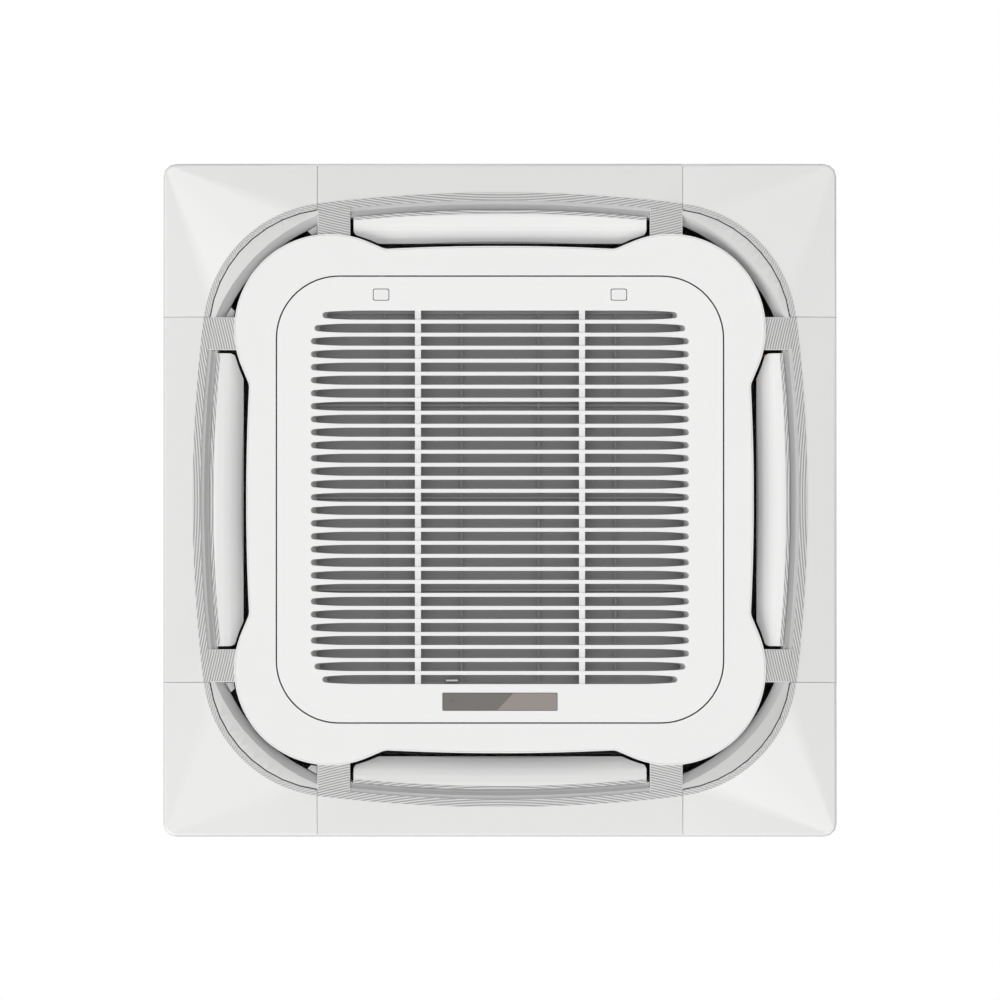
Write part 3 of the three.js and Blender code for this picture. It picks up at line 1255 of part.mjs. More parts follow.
add(unit, "intake_grille", intakeGrille(), INNER_WHITE);
add(unit, "latch_left", latch(-LATCH_X), LATCH_WHITE);
add(unit, "latch_right", latch(LATCH_X), LATCH_WHITE);
add(unit, "display_lens", displayLens(), SMOKED);
add(unit, "display_board", displayBoard(), BOARD_GREEN);
add(unit, "filter_frame", filterFrame(), INNER_WHITE);
add(unit, "filter_net", filterNet(), NET_GREY);
add(unit, "hinge_pin_left", hingePin(-HINGE_X), ZINC);
add(unit, "hinge_pin_right", hingePin(HINGE_X), ZINC);

add(unit, "cabinet_shell", cabinetShell(), GALVANISED);
add(unit, "top_plate", topPlate(), GALVANISED);
add(unit, "wall_liner", wallLiner(), FOAM);
add(unit, "drain_pan", drainPan(), FOAM);
add(unit, "bellmouth", bellmouth(), INNER_WHITE);
add(unit, "fan", fan(), FAN_GREY);
add(unit, "motor_shaft", motorShaft(), ZINC);
add(unit, "fan_nut", fanNut(), ZINC);
add(unit, "fan_motor", fanMotor(), DARK_PLASTIC);
add(unit, "motor_bracket", motorBracket(), GALVANISED);
for (let i = 0; i < 3; i++) {
  const rubber = meshOf(`motor_rubber_${i + 1}`, motorRubber(), RUBBER);
  rubber.rotation.z = (120 * i + 30) * DEG;
  unit.add(rubber);
}
add(unit, "fin_pack", finPack(), ALUMINIUM);
add(unit, "return_bends", returnBends(), COPPER);
add(unit, "gas_pipe", refrigerantPipe(GAS_PIPE, COIL_OUT - 18), BRASS);
add(unit, "liquid_pipe", refrigerantPipe(LIQUID_PIPE, COIL_OUT + 24), BRASS);
add(unit, "pipe_plate", pipePlate(), GALVANISED);
add(unit, "drain_pump", drainPump(), FOAM);
add(unit, "drain_pipe", drainPipe(), DARK_PLASTIC);
add(unit, "float_stem", floatStem(), INNER_WHITE);
add(unit, "float_ring", floatRing(), INNER_WHITE);
add(unit, "control_box", controlBox(), GALVANISED);
add(unit, "control_box_lid", controlBoxLid(), GALVANISED);

export default unit;
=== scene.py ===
import json
import math

import bpy
from mathutils import Matrix, Vector
from mathutils.bvhtree import BVHTree


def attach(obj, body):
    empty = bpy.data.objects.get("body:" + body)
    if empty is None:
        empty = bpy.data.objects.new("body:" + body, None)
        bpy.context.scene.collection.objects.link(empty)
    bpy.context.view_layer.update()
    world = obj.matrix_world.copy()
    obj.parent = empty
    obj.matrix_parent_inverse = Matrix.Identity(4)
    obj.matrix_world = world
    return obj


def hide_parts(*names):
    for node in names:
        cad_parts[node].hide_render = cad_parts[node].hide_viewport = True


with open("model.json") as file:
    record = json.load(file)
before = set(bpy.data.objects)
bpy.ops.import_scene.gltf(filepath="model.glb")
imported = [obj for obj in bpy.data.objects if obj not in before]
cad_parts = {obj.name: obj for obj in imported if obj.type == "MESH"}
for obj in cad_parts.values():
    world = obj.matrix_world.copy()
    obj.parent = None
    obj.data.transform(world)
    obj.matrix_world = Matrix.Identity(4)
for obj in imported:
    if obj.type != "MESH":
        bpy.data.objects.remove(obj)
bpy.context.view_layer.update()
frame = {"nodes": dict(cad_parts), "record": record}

nodes = frame["nodes"]
bpy.ops.object.select_all(action="DESELECT")
scene = bpy.context.scene
scene.view_settings.view_transform = "Standard"
MM = 0.001

# ------------------------------------------------------------------------------------------------
# The room: a white studio with a pale floor far below the ceiling unit. The camera is near that
# floor and looks up at the face, with the display side at the bottom of the picture. The flash
# shines along the camera's line of sight, the key light comes from the lower left of the picture,
# and one soft lamp lights the unit from above the ceiling.

FACE_LEVEL = -26 * MM
EYE_DISTANCE = 40.0
EYE_TILT = math.radians(2.1)
FLOOR_LEVEL = -42.0
PICTURE_WIDTH = 1.4116

bpy.ops.mesh.primitive_circle_add(vertices=64, radius=12, fill_type="NGON")
floor = bpy.context.object
floor.name = "studio_floor"
floor.location.z = FLOOR_LEVEL
bpy.ops.object.transform_apply(location=True, rotation=True, scale=True)

camera_data = bpy.data.cameras.new("ceiling_view")
camera_data.sensor_width = 36
camera_data.lens = 36 * EYE_DISTANCE / PICTURE_WIDTH
camera_data.clip_end = 120
camera = bpy.data.objects.new("ceiling_view", camera_data)
camera.location = (
    0,
    EYE_DISTANCE * math.sin(EYE_TILT) + 0.3 * MM,
    FACE_LEVEL - EYE_DISTANCE * math.cos(EYE_TILT),
)
camera.rotation_euler = (math.pi + EYE_TILT, 0, 0)
scene.collection.objects.link(camera)
scene.camera = camera

for name, aim, strength, spread in [
    ("flash", (0, -math.tan(EYE_TILT), 1.0), 0.36, 2),
    ("key", (1.25, -1.3, 1.0), 1.67, 50),
    ("fill", (-0.5, 0.4, 1.0), 0.17, 70),
    ("above", (-0.4, 0.5, -1.0), 0.6, 60),
]:
    lamp_data = bpy.data.lights.new(name, "SUN")
    lamp_data.energy = strength
    lamp_data.angle = math.radians(spread)
    lamp = bpy.data.objects.new(name, lamp_data)
    lamp.rotation_euler = Vector(aim).to_track_quat("-Z", "Y").to_euler()
    scene.collection.objects.link(lamp)

# ------------------------------------------------------------------------------------------------
# Finishes: every surface is a Principled material whose colour, roughness and grain are worked out
# from the place on the object. Shade is one value on its way to the surface.


class Shade:
    def __init__(self, finish, socket):
        self.finish = finish
        self.socket = socket

    def math(self, operation, first, second=0.0):
        return self.finish.node("Math", {"operation": operation}, {0: first, 1: second})

    def __add__(self, other):
        return self.math("ADD", self, other)

    def __sub__(self, other):
        return self.math("SUBTRACT", self, other)

    def __rsub__(self, other):
        return self.math("SUBTRACT", other, self)

    def __mul__(self, other):
        return self.math("MULTIPLY", self, other)

    def __truediv__(self, other):
        return self.math("DIVIDE", self, other)

    def __gt__(self, other):
        return self.math("GREATER_THAN", self, other)

    __radd__ = __add__
    __rmul__ = __mul__

    def abs(self):
        return self.math("ABSOLUTE", self)

    def wave(self):
        return self.math("PINGPONG", self, 0.5) * 2

    def clamp(self):
        return self.finish.node("Clamp", {}, {0: self})

    def larger(self, other):
        return self.math("MAXIMUM", self, other)

    def smaller(self, other):
        return self.math("MINIMUM", self, other)

    def root(self):
        return self.math("POWER", self, 0.5)


class Finish:
    def __init__(self, name, tree=None, **constants):
        self.material = bpy.data.materials.new(name) if tree is None else None
        if tree is None:
            self.material.use_nodes = True
            tree = self.material.node_tree
            self.surface = tree.nodes["Principled BSDF"]
            for socket, value in constants.items():
                self.surface.inputs[socket.replace("_", " ")].default_value = value
        self.tree = tree

    def node(self, kind, settings=None, values=None, out=0):
        made = self.tree.nodes.new("ShaderNode" + kind)
        for setting, value in (settings or {}).items():
            setattr(made, setting, value)
        for socket, value in (values or {}).items():
            if isinstance(value, Shade):
                self.tree.links.new(value.socket, made.inputs[socket])
            else:
                made.inputs[socket].default_value = value
        return Shade(self, made.outputs[out])

    def place(self):
        return self.node("TexCoord", out="Object")

    def axes(self):
        split = self.node("SeparateXYZ", values={0: self.place()})
        outputs = split.socket.node.outputs
        return [Shade(self, outputs[i]) for i in range(3)]

    def noise(self, scale, detail=3.0, stretch=(1, 1, 1)):
        where = self.node("Mapping", values={0: self.place(), "Scale": stretch})
        return self.node("TexNoise", values={0: where, "Scale": scale, "Detail": detail})

    def cells(self, scale, out="Distance", stretch=(1, 1, 1)):
        where = self.node("Mapping", values={0: self.place(), "Scale": stretch})
        return self.node("TexVoronoi", values={0: where, "Scale": scale}, out=out)

    def blend(self, mask, first, second):
        tones = [tone if isinstance(tone, Shade) else (*tone, 1) for tone in (first, second)]
        return self.node("Mix", {"data_type": "RGBA"}, {0: mask, 6: tones[0], 7: tones[1]}, out=2)

    def put(self, socket, shade):
        self.tree.links.new(shade.socket, self.surface.inputs[socket])

    def relief(self, height, depth, strength=1.0):
        values = {"Height": height, "Distance": depth, "Strength": strength}
        self.put("Normal", self.node("Bump", values=values))


world = bpy.data.worlds.new("studio")
scene.world = world
world.use_nodes = True
sky = Finish("sky", world.node_tree)
lights = world.node_tree.nodes["Background"]
along = sky.node("SeparateXYZ", values={0: sky.node("TexCoord", out="Generated")}, out="Z")
level = along.abs() * 0.55 + 0.33
seen = sky.node("LightPath", out="Is Camera Ray")
for ray in ["Is Glossy Ray", "Is Transmission Ray"]:
    seen = seen + sky.node("LightPath", out=ray)
seen = seen.clamp()
lights.inputs["Color"].default_value = (1, 1, 1, 1)
strength = seen + (1 - seen) * level
world.node_tree.links.new(strength.socket, lights.inputs["Strength"])

pale = Finish("pale_floor", Roughness=0.9)
pale.put("Base Color", pale.blend(pale.noise(0.4), (0.9, 0.9, 0.9), (0.95, 0.95, 0.95)))
glow = pale.node("Emission", values={"Color": (1, 1, 1, 1), "Strength": 1.0})
seen = pale.node("LightPath", out="Is Camera Ray") + pale.node("LightPath", out="Is Glossy Ray")
seen = (seen + pale.node("LightPath", out="Is Transmission Ray")).clamp()
body = Shade(pale, pale.surface.outputs[0])
shown = pale.node("MixShader", values={0: seen, 1: body, 2: glow})
output = pale.tree.nodes["Material Output"]
pale.tree.links.new(shown.socket, output.inputs["Surface"])
floor.data.materials.append(pale.material)


# Injection-moulded white plastic: a faint uneven tone, a fine mould grain and a satin sheen.
def moulded(name, colour, roughness=0.35, grain=0.00002, **constants):
    plastic = Finish(name, **constants)
    darker = tuple(channel * 0.975 for channel in colour)
    plastic.put("Base Color", plastic.blend(plastic.noise(9, 4), darker, colour))
    plastic.put("Roughness", plastic.noise(45, 3) * 0.08 + (roughness - 0.04))
    plastic.relief(plastic.noise(2600, 2), grain, 0.25)
    return plastic


finishes = {
    "face_white": moulded("face_white", (0.765, 0.765, 0.76)),
    "inner_white": moulded("inner_white", (0.885, 0.885, 0.88), 0.34),
    "vane_white": moulded("vane_white", (0.80, 0.80, 0.795), 0.34),
    "latch_white": moulded("latch_white", (0.87, 0.87, 0.865), 0.36),
    "dark_plastic": moulded("dark_plastic", (0.055, 0.056, 0.06), 0.5),
    "drain_plastic": moulded("drain_plastic", (0.48, 0.49, 0.5), 0.45),
    "fan_plastic": moulded("fan_plastic", (0.11, 0.115, 0.12), 0.42),
    "rubber": moulded("rubber", (0.022, 0.022, 0.023), 0.75, 0.00006),
}


# The outlets and their vanes are bowed to this radius. The first value says how far out a place is
# across the bow, the second how far it is from the middle of its side.
BOW = 2146 * MM


def bowed_place(x, y):
    side, end = x.abs().larger(y.abs()), x.abs().smaller(y.abs())
    return side + end * end / (2 * BOW), end


# The blades carry painted shade: brightest at their outer lips, darker towards their inner edges
# and darkest along the inner edge. The display side's blade gets the deepest painted shade, the
# latch side's the least.
VANE_HEM = 365.5 * MM
vanes = finishes["vane_white"]
x, y, z = vanes.axes()
across, end = bowed_place(x, y)
by_display, by_latch = y > 300 * MM, 0 - y > 300 * MM
deep = vanes.blend(by_display, (0.63, 0.63, 0.63), (0.52, 0.52, 0.52))
deep = vanes.blend(by_latch, deep, (0.77, 0.77, 0.77))
outer = vanes.blend(by_display, (0.84, 0.84, 0.835), (0.79, 0.79, 0.785))
shaded = vanes.blend(((392 * MM - across) / (28 * MM)).clamp(), outer, deep)
# A dark painted shade along each blade's inner edge.
inner_edge_shade = ((VANE_HEM - across) / (1 * MM)).clamp()
vanes.put("Base Color", vanes.blend(inner_edge_shade, shaded, (0.36, 0.36, 0.36)))

# The grille's colour is painted darker towards the depth of its slots: painted shade inside them.
SLOT_SHADE_LEVEL = -37.75 * MM
GRILLE_WHITE = (0.885, 0.885, 0.88)
slotted = moulded("grille_white", GRILLE_WHITE, 0.34)
x, y, z = slotted.axes()
depth = ((z - SLOT_SHADE_LEVEL) / (1.2 * MM)).clamp()
slotted.put("Base Color", slotted.blend(depth, GRILLE_WHITE, (0.44, 0.44, 0.44)))

# The rounded rim of the face gets a painted shade.
FACE_WHITE = (0.765, 0.765, 0.76)
RIM_CENTRE = 456.6 * MM


def rim_shade(finish, x, y, tone):
    out_x, out_y = [(place.abs() - RIM_CENTRE).larger(0.0) for place in (x, y)]
    rounding = (out_x * out_x + out_y * out_y).root()
    shade = ((rounding - 16.8 * MM) / (0.8 * MM)).clamp()
    return finish.blend(shade, tone, (0.6, 0.6, 0.6))


# The corner covers carry a painted highlight on the wedge that opens from each outer corner, and
# the painted highlight is stronger on two opposite corners than on the other two.
PANEL_HALF = 475 * MM
covered = moulded("cover_white", FACE_WHITE)
x, y, z = covered.axes()
from_x, from_y = PANEL_HALF - x.abs(), PANEL_HALF - y.abs()
highlight_wedge = ((from_x.smaller(from_y) / from_x.larger(from_y) - 0.3) / 0.14).clamp()
highlight_strength = (x * y > 0) * 0.65 + 0.35
tone = covered.blend(highlight_wedge * highlight_strength, (0.79, 0.79, 0.785), (0.875, 0.875, 0.87))
covered.put("Base Color", rim_shade(covered, x, y, tone))

# The panel frame carries painted shade on the ledges along the outlets, on the corner shelves
# inside the covers' arcs (the shelves on one side darker than on the other), and round its outer
# rim. The arcs have a centre and a radius.
COVER_SEAM = 257.6 * MM
COVER_ARC = (234.6 * MM, 175.3 * MM)
BRIDGE_END = 211.5 * MM
panelled = moulded("panel_white", FACE_WHITE)
x, y, z = panelled.axes()
across, end = bowed_place(x, y)
ledge = (across > 412 * MM) * (422.7 * MM - across > 0) * (BRIDGE_END - end > 0)
tone = panelled.blend(ledge, FACE_WHITE, (0.53, 0.53, 0.53))
out_x, out_y = x.abs() - COVER_ARC[0], y.abs() - COVER_ARC[0]
shelf = (end > COVER_SEAM) * (COVER_ARC[1] ** 2 - (out_x * out_x + out_y * out_y) > 0)
shelf_shade = panelled.blend(y > 0, (0.71, 0.71, 0.705), (0.6, 0.6, 0.595))
tone = panelled.blend(shelf, tone, shelf_shade)
panelled.put("Base Color", rim_shade(panelled, x, y, tone))

# Inside the outlets the same plastic gets painted shade: darkest under the ledges, lighter further
# in and in the corners.
ducted = moulded("duct_white", (0.55, 0.55, 0.55), 0.45)
x, y, z = ducted.axes()
across, end = bowed_place(x, y)
open_air = ((end > 212 * MM) + ((413.5 * MM - across) / (2 * MM)).clamp()).clamp()
ducted.put("Base Color", ducted.blend(open_air, (0.38, 0.38, 0.38), (0.56, 0.56, 0.56)))

# The filter's frame is grey behind the slots, with a white pull tab that hangs lower.
TAB_LEVEL = -24.5 * MM
framed = moulded("filter_frame", (0.16, 0.155, 0.165), 0.5)
x, y, z = framed.axes()
framed.put("Base Color", framed.blend(TAB_LEVEL - z > 0, (0.36, 0.352, 0.364), (0.7, 0.7, 0.7)))

# Galvanised sheet: zinc crystals of different greys, each with its own sheen.
galvanised = Finish("galvanised", Metallic=0.85)
crystals = galvanised.cells(75, "Color")
tone = galvanised.node("SeparateColor", values={0: crystals})
galvanised.put("Base Color", galvanised.blend(tone, (0.42, 0.44, 0.46), (0.6, 0.62, 0.64)))
galvanised.put("Roughness", tone * 0.16 + galvanised.noise(30) * 0.12 + 0.38)
galvanised.relief(galvanised.noise(500, 3), 0.00002, 0.3)
finishes["galvanised"] = galvanised


# Drawn and plated metal: fine lines along the drawing direction and a worn, uneven sheen.
def drawn_metal(name, colour, roughness, stretch):
    metal = Finish(name, Metallic=1.0)
    lines = metal.noise(900, 3, stretch)
    dull = tuple(channel * 0.82 for channel in colour)
    metal.put("Base Color", metal.blend(metal.noise(14, 4), dull, colour))
    metal.put("Roughness", lines * 0.14 + (roughness - 0.07))
    metal.relief(lines, 0.00003, 0.3)
    return metal


finishes["zinc"] = drawn_metal("zinc", (0.66, 0.67, 0.69), 0.34, (0.15, 1, 1))
finishes["copper"] = drawn_metal("copper", (0.78, 0.38, 0.22), 0.3, (0.2, 1, 1))
finishes["pipe_brass"] = drawn_metal("pipe_brass", (0.74, 0.55, 0.26), 0.3, (0.1, 1, 1))

# The heat exchanger's aluminium fins: thin upright plates at a pitch of 2.4 mm, with painted shade
# in the gaps between them.
fins = Finish("fin_aluminium", Metallic=0.9)
x, y, z = fins.axes()
plates = ((x + y) / (2.4 * MM)).wave()
rows = (z / (21 * MM)).wave()
edges = (plates * 1.6 - 0.3).clamp()
fins.put("Base Color", fins.blend(edges, (0.2, 0.21, 0.22), (0.74, 0.76, 0.78)))
fins.put("Roughness", fins.noise(60) * 0.15 + 0.28)
fins.relief(plates + rows * 0.2, 0.0004, 0.8)
finishes["fin_aluminium"] = fins


# Expanded foam: pressed beads that meet in fine creases, with painted shade in the creases.
def foam(name, colour, bead):
    cellular = Finish(name, Roughness=0.92)
    creases = cellular.cells(1 / bead)
    shadow = tuple(channel * 0.84 for channel in colour)
    cellular.put("Base Color", cellular.blend((creases * 1.5).clamp(), colour, shadow))
    cellular.relief(1 - creases, 0.0004, 0.5)
    return cellular


finishes["foam_white"] = foam("foam_white", (0.83, 0.83, 0.81), 0.004)
finishes["foam_dark"] = foam("foam_dark", (0.045, 0.045, 0.05), 0.0015)

# The filter: a woven plastic net of grey threads at a pitch of 0.8 mm.
NET_PITCH = 0.8 * MM
net = Finish("filter_net", Roughness=0.7)
x, y, z = net.axes()
threads = ((x / NET_PITCH).wave().larger((y / NET_PITCH).wave()) * 4 - 2.4).clamp()
net.put("Base Color", net.blend(threads, (0.395, 0.395, 0.395), (0.412, 0.412, 0.412)))
finishes["filter_net"] = net

# The circuit board: green lacquer with bright solder points.
board = Finish("circuit_board", Roughness=0.35)
points = 1 - (board.cells(330) > 0.18)
board.put("Base Color", board.blend(points, (0.03, 0.16, 0.07), (0.55, 0.55, 0.52)))
board.put("Metallic", points)
finishes["circuit_board"] = board

# The display window: smoked plastic, printed on its back in two tones that meet on a slant, with a
# thin ring and a dot where the receiver looks out.
RECEIVER = (-68.6 * MM, 284 * MM)
smoked = Finish("smoked_window", IOR=1.5, Coat_Weight=0.6, Coat_Roughness=0.05)
x, y, z = smoked.axes()
slant = ((x - 7.1 * MM) * 0.733 + (y - 285.8 * MM) * 0.68) / (0.4 * MM)
tones = smoked.blend((0.5 - slant).clamp(), (0.28, 0.244, 0.228), (0.145, 0.135, 0.128))
out_x, out_y = x - RECEIVER[0], y - RECEIVER[1]
away = (out_x * out_x + out_y * out_y).root()
thin_ring = (1 - (away - 2.8 * MM).abs() / (0.6 * MM)).clamp()
dot = 1 * MM - away > 0
smoked.put("Base Color", smoked.blend(thin_ring * 0.35 + dot * 0.6, tones, (0.06, 0.055, 0.055)))
smoked.put("Roughness", smoked.noise(50) * 0.06 + 0.12)
finishes["smoked_window"] = smoked

slots = {part["node"]: part["material_slot"] for part in frame["record"]["subparts"]}
for name, node in nodes.items():
    node.data.materials.clear()
    node.data.materials.append(finishes[slots[name]].material)

# ------------------------------------------------------------------------------------------------
# The panel frame: one large moulding with the outer face, the ducts and the bridges between the
# outlets. Its rounded edges run smoothly, and flat walls keep their corners.


def pick(piece):
    bpy.ops.object.select_all(action="DESELECT")
    piece.select_set(True)
    bpy.context.view_layer.objects.active = piece


def close_up(piece, angle=35):
    pick(piece)
    bpy.ops.object.mode_set(mode="EDIT")
    bpy.ops.mesh.select_all(action="SELECT")
    bpy.ops.mesh.remove_doubles(threshold=0.00001)
    bpy.ops.object.mode_set(mode="OBJECT")
    bpy.ops.object.shade_smooth_by_angle(angle=math.radians(angle))
    even = piece.modifiers.new("even_shading", "WEIGHTED_NORMAL")
    even.keep_sharp = True
    bpy.ops.object.modifier_apply(modifier="even_shading")


def fitted(piece, body, slot, *replaced, look=None):
    piece.data.materials.clear()
    piece.data.materials.append((look or finishes[slot]).material)
    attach(piece, body)
    if replaced:
        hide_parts(*replaced)
    return piece


def smooth_form(node, body, angle=35, look=None):
    piece = bpy.data.objects.new(node + "_form", nodes[node].data.copy())
    scene.collection.objects.link(piece)
    close_up(piece, angle)
    return fitted(piece, body, slots[node], node, look=look)


# The screw pegs under the corner covers are drawn back, clear of the domed covers.
PEG_PLACE = (335 * MM, 343.2 * MM)
PEG_WIDTH = 8 * MM

panel = smooth_form("panel_frame", "unit", 30, panelled)
for point in panel.data.vertices:
    px, py = abs(point.co.x), abs(point.co.y)
    on_peg = abs(px - py) < PEG_WIDTH and PEG_PLACE[0] < (px + py) / 2 < PEG_PLACE[1]
    if on_peg and point.co.z < -25 * MM:
        point.co.z = -14 * MM

# ------------------------------------------------------------------------------------------------
# Corner covers: four snap-on shells with a softly domed face. Their seams show as thin lines, the
# one along the outlet's shelf a little wider.

SEAM_GAP = 0.4 * MM
SHELF_GAP = 1.4 * MM

for corner in range(1, 5):
    cover = smooth_form(f"corner_cover_{corner}", "unit", 40, covered)
    for point in cover.data.vertices:
        px, py = abs(point.co.x), abs(point.co.y)
        px += SEAM_GAP if px < COVER_SEAM + 0.8 * MM else 0
        py += SEAM_GAP if py < COVER_SEAM + 0.8 * MM else 0
        out = Vector((px - COVER_ARC[0], py - COVER_ARC[0]))
        if out.length < COVER_ARC[1] + 0.7 * MM:
            out *= (out.length + SHELF_GAP) / out.length
        point.co.x = math.copysign(COVER_ARC[0] + out.x, point.co.x)
        point.co.y = math.copysign(COVER_ARC[0] + out.y, point.co.y)

# ------------------------------------------------------------------------------------------------
# The ribbed band round the outlets: fine ribs at a pitch of 3.65 mm. On each side they are shallow
# arcs, nearest the middle at mid side, and they run on unbroken over the bridges, the covers and
# the vanes' lips. One side is modelled and turned to the others.

RIB_PITCH = 3.65 * MM
RIB_ARC = 963 * MM
RIB_HEIGHT = 0.8 * MM
FACE_SLOPE = 0.1


def face_level(x, y):
    side, end = max(abs(x), abs(y)), min(abs(x), abs(y))
    beyond = math.hypot(max(side - COVER_SEAM, 0), max(end - COVER_SEAM, 0))
    reach = COVER_SEAM + beyond if side > COVER_SEAM else side
    return FACE_LEVEL - FACE_SLOPE * (PANEL_HALF - reach)


def surface(node):
    mesh = nodes[node].data
    return BVHTree.FromPolygons([v.co for v in mesh.vertices], [p.vertices for p in mesh.polygons])


cover_skin = surface("corner_cover_1")
frame_skin = surface("panel_frame")


def above(skin, x, y):
    return skin.ray_cast(Vector((x, y, -100 * MM)), Vector((0, 0, 1)))[0]


def cover_level(x, y):
    centre, nearest = COVER_ARC[0], COVER_ARC[1] + 1.2 * MM
    out = Vector([max(place, COVER_SEAM + 1 * MM) - centre for place in (abs(x), y)])
    if out.length < nearest:
        out *= nearest / out.length
    place = above(cover_skin, centre + out.x, centre + out.y)
    return place.z if place else face_level(x, y)


def thickened(sheet, height):
    bpy.ops.object.mode_set(mode="EDIT")
    bpy.ops.mesh.select_all(action="SELECT")
    bpy.ops.mesh.extrude_region_move(TRANSFORM_OT_translate={"value": (0, 0, height)})
    bpy.ops.mesh.select_all(action="SELECT")
    bpy.ops.mesh.normals_make_consistent(inside=False)
    bpy.ops.object.mode_set(mode="OBJECT")
    return sheet


def bead_field(name, x0, x1, near, far, level):
    first, last = math.floor(near / RIB_PITCH), math.ceil(far / RIB_PITCH)
    steps = (last - first) * 4
    columns = max(4, round((x1 - x0) / (8 * MM)))
    bpy.ops.mesh.primitive_grid_add(x_subdivisions=columns, y_subdivisions=steps, size=2)
    field = bpy.context.object
    field.name = name
    rise = [0.0, 0.62, 1.0, 0.62]
    for point in field.data.vertices:
        u, v = (point.co.x + 1) / 2, round((point.co.y + 1) / 2 * steps)
        x = x0 + u * (x1 - x0)
        y = (first + v / 4) * RIB_PITCH + x * x / (2 * RIB_ARC)
        point.co = (x, y, level(x, y) - 0.05 * MM - RIB_HEIGHT * rise[v % 4])
    return thickened(field, 2.5 * MM)


def flat_outline(name, outlines, low, high, rounding=0.0):
    curve = bpy.data.curves.new(name, "CURVE")
    curve.dimensions = "2D"
    curve.fill_mode = "BOTH"
    curve.extrude = (high - low) / 2 - rounding
    curve.bevel_depth = rounding
    curve.bevel_resolution = 1
    curve.offset = -rounding
    for outline in outlines:
        spline = curve.splines.new("POLY")
        spline.points.add(len(outline) - 1)
        for point, (px, py) in zip(spline.points, outline):
            point.co = (px, py, 0, 1)
        spline.use_cyclic_u = True
    sheet = bpy.data.objects.new(name, curve)
    scene.collection.objects.link(sheet)
    pick(sheet)
    bpy.ops.object.convert(target="MESH")
    sheet = bpy.context.object
    sheet.location.z = (low + high) / 2
    bpy.ops.object.transform_apply(location=True, rotation=True, scale=True)
    close_up(sheet, 40)
    bpy.ops.object.mode_set(mode="EDIT")
    bpy.ops.mesh.select_all(action="SELECT")
    bpy.ops.mesh.normals_make_consistent(inside=False)
    bpy.ops.object.mode_set(mode="OBJECT")
    return sheet


def joined(first, *others):
    pick(first)
    for other in others:
        other.select_set(True)
    bpy.ops.object.join()
    return first


def carved(piece, tool, operation):
    pick(piece)
    trim = piece.modifiers.new("trim", "BOOLEAN")
    trim.operation = operation
    trim.solver = "EXACT"
    trim.object = tool
    bpy.ops.object.modifier_apply(modifier="trim")
    bpy.data.objects.remove(tool)


def trimmed(field, outlines):
    carved(field, flat_outline("rib_trim", outlines, -60 * MM, 0), "INTERSECT")
    close_up(field, 50)
    return field


def quarter(piece, turns, name):
    turned = bpy.data.objects.new(name, piece.data.copy())
    turned.data.transform(Matrix.Rotation(turns * math.pi / 2, 4, "Z"))
    scene.collection.objects.link(turned)
    return turned


def spread(count, first, last):
    return [first + (last - first) * i / (count - 1) for i in range(count)]


def bowed(edge, half, count=25):
    return [(x, edge - x * x / (2 * BOW)) for x in spread(count, half, -half)]


def rounded(centre, radius, start, end, count=12):
    angles = spread(count, math.radians(start), math.radians(end))
    return [(centre[0] + radius * math.cos(a), centre[1] + radius * math.sin(a)) for a in angles]


RIBS_OUT = 433.8 * MM
RIBS_IN = 422.8 * MM

band = [
    *bowed(RIBS_OUT, COVER_SEAM - 0.2 * MM),
    *bowed(RIBS_IN, COVER_SEAM - 0.2 * MM)[::-1],
]
bridge = (BRIDGE_END + 0.8 * MM, COVER_SEAM - 0.8 * MM)
tooth = [(px, 365 * MM) for px in bridge]
tooth += [(px, RIBS_IN + 0.4 * MM - px * px / (2 * BOW)) for px in bridge[::-1]]
rows = (330 * MM, 436 * MM)
side_ribs = trimmed(bead_field("ribs", -262 * MM, 262 * MM, *rows, face_level), [band])
bridge_ribs = []
for sign in (1, -1):
    middle = sign * 234.5 * MM
    field = bead_field("ribs", middle - 30 * MM, middle + 30 * MM, *rows, face_level)
    bridge_ribs.append(trimmed(field, [[(sign * px, py) for px, py in tooth][::sign]]))
joined(side_ribs, *bridge_ribs)

# The ribs' colour carries painted shade in the grooves between them.
ribbed = moulded("ribbed_white", (0.78, 0.78, 0.775), 0.4)
x, y, z = ribbed.axes()
side, end = x.abs().larger(y.abs()), x.abs().smaller(y.abs())
groove_shade = 1 - ((side - end * end / (2 * RIB_ARC)) / RIB_PITCH).wave()
ribbed.put("Base Color", ribbed.blend(groove_shade, (0.76, 0.76, 0.755), (0.27, 0.27, 0.27)))

for turns in range(4):
    fitted(quarter(side_ribs, turns, f"rib_band_{turns + 1}"), "unit", "face_white", look=ribbed)
bpy.data.objects.remove(side_ribs)

# ------------------------------------------------------------------------------------------------
# The covers' share of the ribbed band: a narrow crescent between two arcs round each corner.

CREST_RADIUS = 184.8 * MM


def crescent(sign):
    centre, inner = COVER_ARC
    past_seam = COVER_SEAM + 0.5 * MM - centre
    start, inner_start = [math.degrees(math.asin(past_seam / r)) for r in (CREST_RADIUS, inner)]
    outline = rounded((centre, centre), CREST_RADIUS, 45, 90 - start, 20)
    outline += rounded((centre, centre), inner + 1.7 * MM, 90 - inner_start, 45, 20)
    return [(sign * px, py) for px, py in outline][::sign]


corner_ribs = []
for sign in (1, -1):
    x0, x1 = sorted((sign * 250 * MM, sign * 380 * MM))
    field = bead_field("ribs", x0, x1, 280 * MM, 436 * MM, cover_level)
    corner_ribs.append(trimmed(field, [crescent(sign)]))
corner = joined(*corner_ribs)
for turns in range(4):
    fitted(quarter(corner, turns, f"rib_crescent_{turns + 1}"), "unit", "face_white", look=ribbed)
bpy.data.objects.remove(corner)
